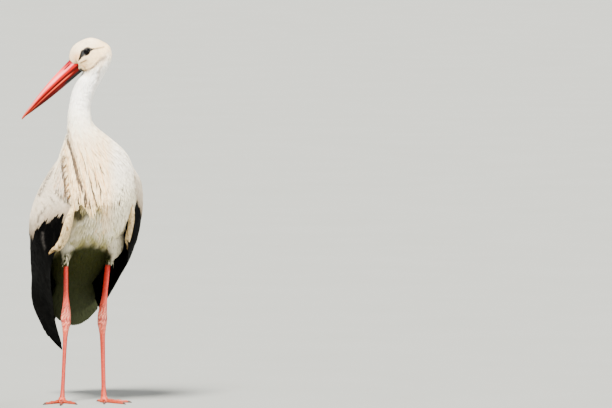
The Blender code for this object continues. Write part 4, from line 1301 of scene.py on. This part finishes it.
def buildBellyCoat():
    s, angle = staggered(bodySurface, fringe - 0.05, sweepEnd, *bellyCoat["gaps"], *frontAngles,
                         probe=1.5 * math.pi)
    right = bodySurface(s, angle, 0.9)[:, 0] - originShift[0]
    kept = (right < 10 * mm) | (s > fringe + 0.75)
    field = laid(bodySurface, s[kept], angle[kept], bellyCoat)

    def tintOf(p, s, angle, vane):
        # painted shade: single tufts in olive grey, thicker in drifting clouds and towards the legs
        place = (p - originShift) / mm
        drift = (np.sin(place[:, 0] * 0.11 + 2 * np.sin(place[:, 2] * 0.05))
                 * np.sin(place[:, 2] * 0.13 + place[:, 0] * 0.05))
        much = 0.35 * smooth(vane[:, 2], 0.5, 0.9) + 0.35 * smooth(drift, 0.1, 0.8)
        much = much + 0.25 * (1 - smooth(place[:, 2], 395, 440)) * smooth(vane[:, 2], 0.2, 0.6)
        base = coatTint(p, s, angle)
        return shaded(np.minimum(base, mixed(base, plumageColours["dimShade"], np.clip(much, 0, 0.75))), vane,
                      0.3, 0.1)
    featherPiece("bellyFeathers", [field], softWhite, "plumage", bodyBake, tintOf)


def buildBackCoat():
    s, angle = staggered(bodySurface, headEnd + 4.4, sweepEnd, *backCoat["gaps"], math.radians(5),
                         math.radians(175))
    grown = np.interp(s, (headEnd + 4, neckEnd, neckEnd + 2, sweepEnd), (0.5, 0.75, 1.0, 1.1))
    field = laid(bodySurface, s, angle, backCoat, grown)
    featherPiece("backFeathers", [field], softWhite, "plumage", bodyBake, bodyTint)


def buildThighCoat():
    batches = []
    for side in ("left", "right"):
        surface = thighSurface(side)
        s, angle = staggered(surface, 0.0, 1.02, *thighCoat["gaps"], probe=0.0)
        batches.append(laid(surface, s, angle, thighCoat))

    # loose strands that hang from the left flank
    n = flankStrands["count"]
    s, angle = 0.86 + 0.1 * dice.random(n), -0.5 + 0.7 * dice.random(n)
    batches.append(laid(thighSurface("left"), s, angle, flankStrands))

    def bake(s, angle):
        return np.stack([0.8 + 0.09 * np.mod(angle / turn, 1), 0.3 + 0.18 * np.clip(s, 0, 1)], -1)

    def tintOf(p, s, angle, vane):
        # pale over the belly's edge, on the left flank and in a tuft above the right shank; painted olive
        # shade elsewhere, and painted grey shade on some pale tufts
        place = (p - originShift) / mm
        inFront = 1 - smooth(place[:, 1], 20, 36)
        flank = smooth(place[:, 0], 62, 70) * inFront
        under = 1 - shadeUnder(p, -14, 6)
        aboveShank = bump(np.hypot(place[:, 0] + 47, (place[:, 2] - 352) * 0.8), 0, 9)
        tuft = aboveShank * inFront * smooth(vane[:, 2], 0.2, 0.4)
        loose = (s > 0.93) * (vane[:, 2] > 0.6) * 0.7
        pale = np.clip(np.max([flank, under * inFront, tuft, loose], axis=0), 0, 1)
        base = mixed(plumageColours["undertailShade"], plumageColours["bellyPale"], pale)
        grey = 0.4 * smooth(vane[:, 2], 0.45, 0.85) * pale
        base = mixed(base, plumageColours["dimShade"], grey)
        return shaded(base, vane)
    featherPiece("thighFeathers", batches, softWhite, "plumage", bake, tintOf)


def buildScutes(side):
    # overlapping plates down the leg, wider in front, and bands across the top of each toe
    leg = legSurface(side)
    s, angle = staggered(leg, 0.4, 11.6, 2.7 * mm, 2.6 * mm, probe=0.0, jitter=0.2)
    count = len(s)
    wide = 3.0 + 1.6 * bump(np.sin(angle), 1, 0.6) * (1 - bump(s, 5, 1.6))
    batches = [batch(leg, s, angle, length=varied(count, 3.6 * mm, 0.15),
                     width=varied(count, 1.0, 0.15) * wide * mm,
                     low=0.0, high=1.0, shape="round", steps=3, camber=0.25)]
    for label, *_ in toeRows:
        toe = toeSurface(side, label)
        s, angle = staggered(toe, 0.12, 0.97, 2.8 * mm, 3.4 * mm, math.radians(20), math.radians(160), 0.1,
                             0.8)
        count = len(s)
        batches.append(batch(toe, s, angle, length=varied(count, 3.6 * mm, 0.1),
                             width=varied(count, 4.2 * mm, 0.1),
                             low=0.0, high=0.9, shape="round", steps=3, camber=0.2))

    def bake(s, angle):
        return np.stack([0.02 + 0.9 * np.mod(angle / turn, 1), 0.02 + 0.96 * np.clip(s / 12, 0, 1)], -1)

    def tintOf(p, s, angle, vane):
        return shaded(skinTint(p), vane, 0.35, 0.12)
    featherPiece(f"scales_{side}", batches, scuteSkin, "leg_skin", bake, tintOf)


buildScutes("left")
buildScutes("right")
buildHeadCoat()
buildNeckCoat()
buildBreastCoat()
buildBellyCoat()
buildBackCoat()
buildThighCoat()

print("stage 7: wings and tail")

# The closed wing's outer face in mm: u, then lower edge, widest line and upper edge,
# each (out from the midline, y, z).
wingTables = {
    "right": ((0.00, 64, -108, 484, 82, -88, 545, 60, -50, 608),
              (0.14, 76, -84, 425, 117, -10, 514, 62, 8, 610),
              (0.30, 95, -20, 354, 133, 40, 446, 46, 64, 571),
              (0.50, 87, 58, 296, 122, 108, 362, 34, 129, 497),
              (0.70, 66, 142, 231, 108, 172, 292, 24, 192, 402),
              (0.86, 46, 212, 174, 95, 228, 223, 18, 235, 305),
              (1.00, 8, 298, 100, 62, 268, 160, 14, 270, 226)),
    "left": ((0.00, 84, -82, 484, 92, -78, 545, 60, -50, 608),
             (0.14, 88, -58, 425, 124, -6, 510, 62, 8, 610),
             (0.30, 99, -20, 354, 138, 40, 440, 46, 64, 571),
             (0.50, 87, 58, 296, 122, 108, 362, 34, 129, 497),
             (0.70, 66, 142, 231, 104, 172, 292, 24, 192, 402),
             (0.80, 70, 205, 220, 92, 214, 270, 20, 222, 345),
             (0.90, 52, 246, 246, 76, 250, 268, 18, 252, 303),
             (1.00, 14, 302, 182, 42, 284, 206, 14, 276, 242)),
}
wingSettings = {"whiteDepth": 4.5 * mm,
                # the line where white gives way to black, in mm: y, and its height there
                "right": ((-110, 470), (-85, 463), (-60, 458), (-30, 447), (0, 426), (25, 412), (45, 408),
                          (60, 412), (110, 445), (150, 500), (300, 620)),
                "left": ((-110, 516), (-60, 494), (-5, 472), (30, 452), (60, 444), (110, 458), (150, 505),
                         (300, 620))}
# darker marks on the right wing, in mm: width, then places across (less a fifth of y) and up
wingMarks = ((5, ((-80, 566), (-97, 536), (-114, 503))), (3, ((-99, 474), (-101, 466))),
             (3, ((-106, 465), (-108, 459))), (3, ((-114, 455), (-117, 438))), (2, ((-84, 500), (-72, 484))))
wingStreak = (1.5, ((-106, 414), (-106, 396), (-100, 374)))
wingColours = {"white": paint(206, 196, 181), "shaded": paint(132, 120, 104), "black": paint(3, 3, 4),
               "mark": paint(56, 50, 44), "brown": paint(18, 15, 13), "grey": paint(78, 76, 74),
               "hand": paint(206, 188, 156),
               "knobToneAndShade": paint(128, 108, 80)}


middleCoat = {"long": (46 * mm, 0.3), "wide": (12 * mm, 0.2), "fuller": 1, "lean": 0.08, "low": 0.3,
              "high": (0.7, 0.2), "vane": {"shape": "flight", "steps": 7, "camber": 0.06, "tilt": 0.12}}
whiteCoat = {"fuller": 1, "lean": 0.16, "low": 0.45, "high": (1.0, 0.12),
             "vane": {"shape": "round", "steps": 5, "camber": 0.1, "tilt": 0.05}}
pointedTips = {"long": (30 * mm, 0.4), "wide": (4.6 * mm, 0.3), "fuller": 1, "lean": 0.12, "low": 0.8,
               "high": (1.04, 0.05), "vane": {"shape": "lance", "steps": 5, "camber": 0.05}}
handCoat = {"gaps": (3.2 * mm, 3.0 * mm), "long": (12 * mm, 0.3), "wide": (4.2 * mm, 0.2), "fuller": 1,
            "lean": 0.25, "low": 0.1, "high": (0.85, 0.2), "vane": {"shape": "tuft", "steps": 4}}
tailCoat = {"gaps": (9 * mm, 7 * mm), "long": (34 * mm, 0.25), "wide": (10 * mm, 0.2), "fuller": 1,
            "lean": 0.2, "low": 0.8, "high": (1.05, 0.1), "vane": {"shape": "tuft", "steps": 5}}


def wingSheet(side):
    table = np.array(wingTables[side]) * ([1] + [mm] * 9)
    rowScale = len(table) - 1
    sign = 1 if side == "left" else -1

    def sheet(u, v):
        # straight from the lower edge to the widest line with a 5 mm swell, then a curve over to the upper
        # edge
        u, v = together(u, v)
        at = np.interp(u, table[:, 0], np.arange(len(table))) + (u - np.clip(u, 0, 1)) * rowScale
        row = readTable(table[:, 1:], at)
        low, mid, high = row[..., 0:3], row[..., 3:6], row[..., 6:9]
        t = (2 * v)[..., None]
        lower = low + (mid - low) * t
        lower[..., 0:1] += 5 * mm * 4 * np.clip(t, 0, 1) * (1 - np.clip(t, 0, 1))
        t = t - 1
        bend = mid + (mid - low) * 0.27
        upper = mid * (1 - t) ** 2 + bend * (2 * t * (1 - t)) + high * t * t
        point = np.where((v < 0.5)[..., None], lower, upper)
        middle = 6 * mm + 9 * mm * smooth((point[..., 2] - 440 * mm) / (110 * mm))
        x = middle + sign * point[..., 0]
        return np.stack([x, point[..., 1], point[..., 2]], -1) + originShift

    def normal(u, v):
        step = 0.004
        along = sheet(u + step, v) - sheet(u - step, v)
        across = sheet(u, v + step) - sheet(u, v - step)
        out = unit(np.cross(along, across))
        inward = np.array((6, 60, 420)) * mm + originShift - sheet(u, v)
        return np.where((out * inward).sum(-1, keepdims=True) > 0, -out, out)

    def surface(u, v, share):
        # the sheet, sunk by what is left of the feathers' depth
        u, v, share = together(u, v, share)
        return sheet(u, v) + normal(u, v) * ((share - 1) * wingSettings["whiteDepth"])[..., None]
    return normal, surface


def pastEdge(points, side):
    # metres beyond the line where the white coverts give way to black: the height under it times 0.85
    place = points - originShift
    line = np.array(wingSettings[side]) * mm
    return (np.interp(place[..., 1], line[:, 0], line[:, 1]) - place[..., 2]) * 0.85


def wingBake(u, v):
    return np.stack([0.02 + 0.96 * np.clip(u, 0, 1), 0.02 + 0.96 * np.clip(v, 0, 1)], -1)


def buildWing(side):
    normal, surface = wingSheet(side)
    # the arm under the feathers: the outer face sunk by their depth, and an inner face behind it
    u = np.linspace(0.0, 1.0, 90)[:, None]
    v = np.linspace(0.02, 0.98, 36)[None, :]
    face, out = surface(u, v, 0.0), normal(u, v)
    thick = (2.0 + 15 * (1 - u) ** 0.9) * mm * (0.25 + 0.75 * np.sin(math.pi * v) ** 0.6)
    inner = face - out * thick[..., None]
    ring = np.concatenate([face, inner[:, ::-1]], 1)
    grid = closedTube(ring)
    flat = grid.reshape(-1, 3)
    white = 1 - smooth(pastEdge(flat, side), -8 * mm, 0)
    tint = mixed(wingColours["black"], wingColours["shaded"], white)
    shareU = np.concatenate([[0], np.linspace(0, 1, 90), [1]])
    shareV = np.concatenate([np.linspace(0, 0.5, 36), np.linspace(0.5, 1, 36)])
    bake = np.stack([np.repeat(shareU, 72), np.tile(shareV, 92)], -1) * 0.96 + 0.02
    layers = layersOf(tint)
    arm = addPiece(f"wing_{side}", flat, gridQuads(92, 72), flightBlack, "flight_feathers", layers, bake)
    outwards(arm)
    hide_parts(f"wing_{side}_coverts", f"wing_{side}_secondaries", f"wing_{side}_primaries")
    black, white = [], []
    # flight feathers: long overlapping vanes in lanes, each lane's lower edge over the next
    for uFrom, uTo, gap, length, width in ((0.16, 0.92, 26, 105, 15), (0.62, 0.98, 24, 95, 12)):
        s, angle = staggered(surface, uFrom, uTo, gap * mm, width * 0.62 * mm, 0.0, 1.0, probe=0.5)
        root = pastEdge(surface(s, angle, 0.5), side)
        kept = root > -18 * mm
        s, angle = s[kept], angle[kept]
        count = len(s)
        reach = np.minimum(varied(count, length * mm, 0.25), np.maximum((1.0 - s) * 480 * mm, 22 * mm))
        black.append(batch(surface, s, angle, length=reach, width=varied(count, width * mm, 0.15),
                           lean=-0.05 + 0.06 * (dice.random(count) - 0.5), low=0.15,
                           high=varied(count, 0.55, 0.3),
                           shape="flight", steps=8, camber=0.06, tilt=0.14))
    s, angle = staggered(surface, 0.04, 0.62, 13 * mm, 9 * mm, 0.0, 1.0, probe=0.3)
    root = pastEdge(surface(s, angle, 0.5), side)
    kept = (root > -30 * mm) & (root < 45 * mm)
    black.append(laid(surface, s[kept], angle[kept], middleCoat))
    # white coverts: small at the front edge, larger towards the black
    for uFrom, uTo, gap, length, width in ((-0.01, 0.62, 6.0, 20, 10), (-0.01, 0.2, 5.0, 13, 7.5)):
        s, angle = staggered(surface, uFrom, uTo, gap * mm, width * 0.6 * mm, 0.0, 1.0, probe=0.5)
        tip = pastEdge(surface(s, angle, 0.5), side) + length * mm * 0.9
        kept = tip < 6 * mm * dice.random(len(tip)) + 2 * mm
        s, angle = s[kept], angle[kept]
        coat = {**whiteCoat, "long": (length * mm, 0.25), "wide": (width * mm, 0.2)}
        white.append(laid(surface, s, angle, coat, np.interp(s, (0, 0.1, 0.3), (0.7, 0.9, 1.15))))

    # pointed tips that reach over the black, white and grey by turns
    s, angle = staggered(surface, 0.0, 0.62, 6 * mm, 4.2 * mm, 0.0, 1.0, probe=0.3)
    root = pastEdge(surface(s, angle, 0.5), side)
    kept = (root > -38 * mm) & (root < -8 * mm)
    s, angle = s[kept], angle[kept]
    uneven = np.sin(angle * 53) * np.sin(angle * 19 + 1)
    white.append(laid(surface, s, angle, pointedTips, 1.0, 1 + 0.5 * uneven))

    def blackTint(p, s, angle, vane):
        tint = mixed(wingColours["black"], wingColours["brown"], 0.15 * vane[:, 2] ** 3)
        edge = (np.abs(vane[:, 0]) > 0.5) * (vane[:, 2] > 0.75) * 0.03
        tint = mixed(tint, wingColours["grey"], edge * smooth(vane[:, 1], 0.2, 0.9))
        if side == "left":
            return tint
        place = p - originShift
        pale = strokeShare(place[:, 0], place[:, 2], *wingStreak) * smooth(place[:, 1], 60 * mm, 30 * mm)
        return mixed(tint, wingColours["grey"], pale * 0.6)

    def whiteTint(p, s, angle, vane):
        past = pastEdge(p, side)
        tint = mixed(wingColours["shaded"], wingColours["white"], smooth(-past, -20 * mm, 40 * mm))
        cloud = streakNoise(p * (1.0, 1.0, 2.2)) * np.sin(p[:, 1] / mm * 0.11)
        tint = mixed(tint, wingColours["shaded"], 0.5 * smooth(cloud, 0.1, 0.6)
                     + 0.35 * smooth(vane[:, 2], 0.6, 0.9))
        if side == "right":
            place = p - originShift
            for wide, line in wingMarks:
                mark = strokeShare(place[:, 0] - 0.2 * place[:, 1], place[:, 2], wide, line)
                mark = mark * smooth(vane[:, 2], 0.1, 0.4) * smooth(place[:, 1], 26 * mm, 8 * mm)
                tint = mixed(tint, wingColours["mark"], 0.8 * mark)
        tip = smooth(past, -6 * mm, 14 * mm) * smooth(vane[:, 2], 0.35, 0.5)
        return shaded(mixed(tint, wingColours["grey"], 0.75 * tip), vane, 0.3, 0.1)
    featherPiece(f"flight_{side}", black, flightBlack, "flight_feathers", wingBake, blackTint)
    featherPiece(f"coverts_{side}", white, softWhite, "plumage", wingBake, whiteTint)


handPaths = {
    "right": ((-52, -111, 484, 4), (-56, -109, 464, 8), (-61, -102, 442, 10.5), (-65, -91, 420, 11),
              (-69, -77, 400, 10.5), (-77, -64, 384, 9.5), (-90, -52, 374, 5)),
    "left": ((97, -84, 484, 4), (98, -80, 466, 6.5), (98.5, -71, 446, 7.5), (97.5, -60, 426, 7.5),
             (96, -47, 408, 7.5), (95.5, -36, 394, 6.5), (98, -28, 384, 4)),
}


def handSurface(side):
    path = np.array(handPaths[side]) * mm

    def surface(s, angle, share):
        # a round roll of feathers down the front edge, its radius read along the path
        s, angle, share = together(s, angle, share)
        row = readTable(path, s)
        tangent = unit(readTable(path, s + 0.05)[..., :3] - readTable(path, s - 0.05)[..., :3])
        across = unit(np.cross(tangent, (0.0, 1.0, 0.4)))
        over = np.cross(tangent, across)
        radius = np.maximum(row[..., 3] - 2.2 * mm * (1 - share), 0.8 * mm)
        return (row[..., :3] + across * (np.cos(angle) * radius)[..., None]
                + over * (np.sin(angle) * radius)[..., None] + originShift)
    return surface


def buildHand(side):
    surface = handSurface(side)
    angle = np.linspace(0, turn, 20, endpoint=False)
    grid = closedTube(surface(np.linspace(0, 6, 50)[:, None], angle[None, :], 0.0))
    flat = grid.reshape(-1, 3)
    # the roll under the feathers is darker, as painted shade in the gaps between them
    layers = layersOf(np.tile(wingColours["hand"] * 0.8, (len(flat), 1)))
    rows, columns = grid.shape[:2]
    roll = addPiece(f"hand_{side}", flat, gridQuads(rows, columns), softWhite, "plumage", layers,
                    gridMap(rows, columns))
    outwards(roll)
    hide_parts(f"wing_{side}_hand")
    s, around = staggered(surface, 0.0, 6.2, *handCoat["gaps"], probe=0.0)
    field = laid(surface, s, around, handCoat)

    def handBake(s, angle):
        return np.stack([np.mod(angle / turn, 1), np.clip(s / 6, 0, 1)], -1) * 0.96 + 0.02

    def tintOf(p, s, angle, vane):
        # painted shade: brown in the crevices and towards the lower end, and olive in the deepest gaps; some
        # feathers are brown of their own
        creviceShade = smooth(np.sin(s * 9 + 2.5 * np.sin(angle * 3)) * np.sin(s * 3.7 + angle * 2), 0.25, 0.6)
        brown = np.clip(smooth(s, 4.4, 5.6) * 0.7 + 0.6 * creviceShade + 0.5 * smooth(vane[:, 2], 0.8, 0.9), 0, 1)
        tint = mixed(wingColours["hand"], wingColours["knobToneAndShade"], brown)
        gap = smooth(np.sin(s * 7.3 + 1) * np.sin(angle * 2 + s), 0.35, 0.7) * smooth(s, 3.2, 4.4)
        return shaded(mixed(tint, plumageColours["shadow"], 0.8 * gap), vane, 0.5, 0.16)
    featherPiece(f"handFeathers_{side}", [field], softWhite, "plumage", handBake, tintOf)


tailSettings = {"length": 141 * mm, "halfWidth": 57 * mm, "feathers": 22,
                # share across the half width, then how much of the length the feather there reaches
                "ends": ((0, 0.985), (0.25, 0.97), (0.6, 0.88), (0.87, 0.75), (1, 0.6))}


def tailSurface(t, x, share):
    # an arched wedge: half width grows to the round end, the middle stands 10 mm over the edges
    t, x, share = together(t, x, share)
    start = bodyRows[-1][:3] + np.array((0, -3, -2)) * mm
    along = unit(np.array((0.1, 0.62, -0.785)))
    up = -np.cross((1.0, 0, 0), along)
    half = tailSettings["halfWidth"] * np.interp(t, (0, 0.37, 0.5, 0.62), (0.76, 0.9, 1.0, 1.02))
    thick = (15 - 11.5 * np.clip(t, 0, 1)) * mm
    lift = 10 * mm * (1 - x * x) + thick * (share - 0.5)
    return (start + along * (tailSettings["length"] * t)[..., None]
            + np.array((1.0, 0, 0)) * (x * half)[..., None]
            + up * lift[..., None] + originShift)


def buildTail():
    # a thin core, then the long tail feathers over and under it, and the shorter coverts at its root
    around = np.linspace(0, turn, 40, endpoint=False)
    t = np.linspace(-0.05, 0.9, 24)[:, None]
    narrow = np.interp(t, (0.6, 0.75, 0.88, 0.9), (0.9, 0.8, 0.5, 0.4))
    grid = closedTube(tailSurface(t, narrow * np.cos(around)[None, :], 0.5 + 0.22 * np.sin(around)[None, :]))
    flat = grid.reshape(-1, 3)
    rows, columns = grid.shape[:2]
    # the white tail's core takes the underside's painted olive shade
    core = addPiece("tail_core", flat, gridQuads(rows, columns), softWhite, "plumage",
                    layersOf(undersideShade(flat)), gridMap(rows, columns))
    outwards(core)
    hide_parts("tail")
    batches = []
    count = tailSettings["feathers"]
    x = np.linspace(-0.86, 0.86, count)
    reach = tailSettings["length"] * np.interp(np.abs(x), *zip(*tailSettings["ends"]))
    for way in (1, -1):
        flipped = (lambda t, x, share, way=way: tailSurface(t, x, 0.5 + way * (share - 0.5)))
        batches.append(batch(flipped, np.zeros(count), x, length=reach, width=np.full(count, 17 * mm),
                             lean=0.0, low=0.62, high=0.85 - 0.1 * np.abs(x), shape="flight", steps=10,
                             camber=0.06, tilt=0.1))
        s, angle = staggered(flipped, -0.1, 0.5, *tailCoat["gaps"], -0.95, 0.95, probe=0.0)
        batches.append(laid(flipped, s, angle, tailCoat))

    def tailBake(t, x):
        return np.stack([0.5 + 0.48 * np.clip(x, -1, 1), 0.02 + 0.96 * np.clip(t, 0, 1)], -1)

    def tintOf(p, t, x, vane):
        # the white tail feathers take the underside's painted olive shade
        return shaded(undersideShade(p), vane)
    featherPiece("tail_feathers", batches, softWhite, "plumage", tailBake, tintOf)


for side in ("left", "right"):
    buildWing(side)
    buildHand(side)
buildTail()

print("stage 8: studio")

studioSettings = {"azimuth": -12.0, "elevation": 3.5, "distance": 20.0, "viewWide": 1468.8 * mm,
                  "aimRight": 529 * mm, "aimUp": 481 * mm, "floorReach": 200.0, "softness": math.radians(16),
                  "skyTint": (0.80, 0.84, 0.86, 1), "skyLight": 0.62,
                  "floorTints": ((0.190, 0.196, 0.180, 1), (0.213, 0.220, 0.203, 1)),
                  # each lamp: where it stands, its strength and its tint
                  "lamps": {"key": ((-1.5, -2.3, 4.6), 20.5, (1.0, 0.965, 0.91)),
                            "fill": ((2.4, -2.2, 1.3), 4.2, (1.0, 0.98, 0.95)),
                            "rim": ((2.5, 3.0, 3.0), 2.0, (1.0, 1.0, 1.0))}}


def aimed(name, data, place, direction):
    # an object that stands at a place and looks along a direction
    holder = bpy.data.objects.new(name, data)
    holder.location = place
    holder.rotation_mode = "QUATERNION"
    holder.rotation_quaternion = Vector(direction).to_track_quat("-Z", "Y")
    bpy.context.scene.collection.objects.link(holder)
    return holder


def addStudio():
    c = studioSettings
    azimuth, elevation = math.radians(c["azimuth"]), math.radians(c["elevation"])
    right = np.array((math.cos(azimuth), math.sin(azimuth), 0))
    towards = np.array((math.sin(azimuth) * math.cos(elevation), -math.cos(azimuth) * math.cos(elevation),
                        math.sin(elevation)))
    target = right * c["aimRight"] + np.array((0, 0, c["aimUp"])) + originShift
    camera = bpy.data.cameras.new("camera")
    camera.sensor_width = 36.0
    camera.lens = camera.sensor_width * c["distance"] / c["viewWide"]
    camera.clip_end = 100.0
    bpy.context.scene.camera = aimed("camera", camera, target + towards * c["distance"], -towards)
    floorMaterial, tree, shader = newMaterial("pale floor", 0.9)
    grain = placedTexture(tree, "ShaderNodeTexNoise", Scale=3.0, Detail=6.0)
    ramp = addNode(tree, "ShaderNodeValToRGB")
    for element, tint in zip(ramp.color_ramp.elements, c["floorTints"]):
        element.color = tint
    tree.links.new(grain.outputs["Fac"], ramp.inputs["Fac"])
    tree.links.new(ramp.outputs["Color"], shader.inputs["Base Color"])
    # a flat floor wide enough to fill the view: corners at plus and minus its reach
    x = np.linspace(-1, 1, 9) * c["floorReach"]
    points = np.stack(np.broadcast_arrays(x[None, :], x[:, None], 0.0 * x[:, None]), -1)
    floor = addPiece("floor", points.reshape(-1, 3), gridQuads(9, 9, wrap=False), floorMaterial, None)
    for name, (place, energy, tint) in c["lamps"].items():
        light = bpy.data.lights.new(name, "SUN")
        light.energy = energy
        light.color = tint
        light.angle = c["softness"]
        aimed(name, light, place, np.array((0, 0, 0.5)) - np.array(place))
    world = bpy.data.worlds.new("world")
    world.use_nodes = True
    sky = world.node_tree.nodes["Background"]
    sky.inputs["Color"].default_value = c["skyTint"]
    sky.inputs["Strength"].default_value = c["skyLight"]
    bpy.context.scene.world = world


addStudio()
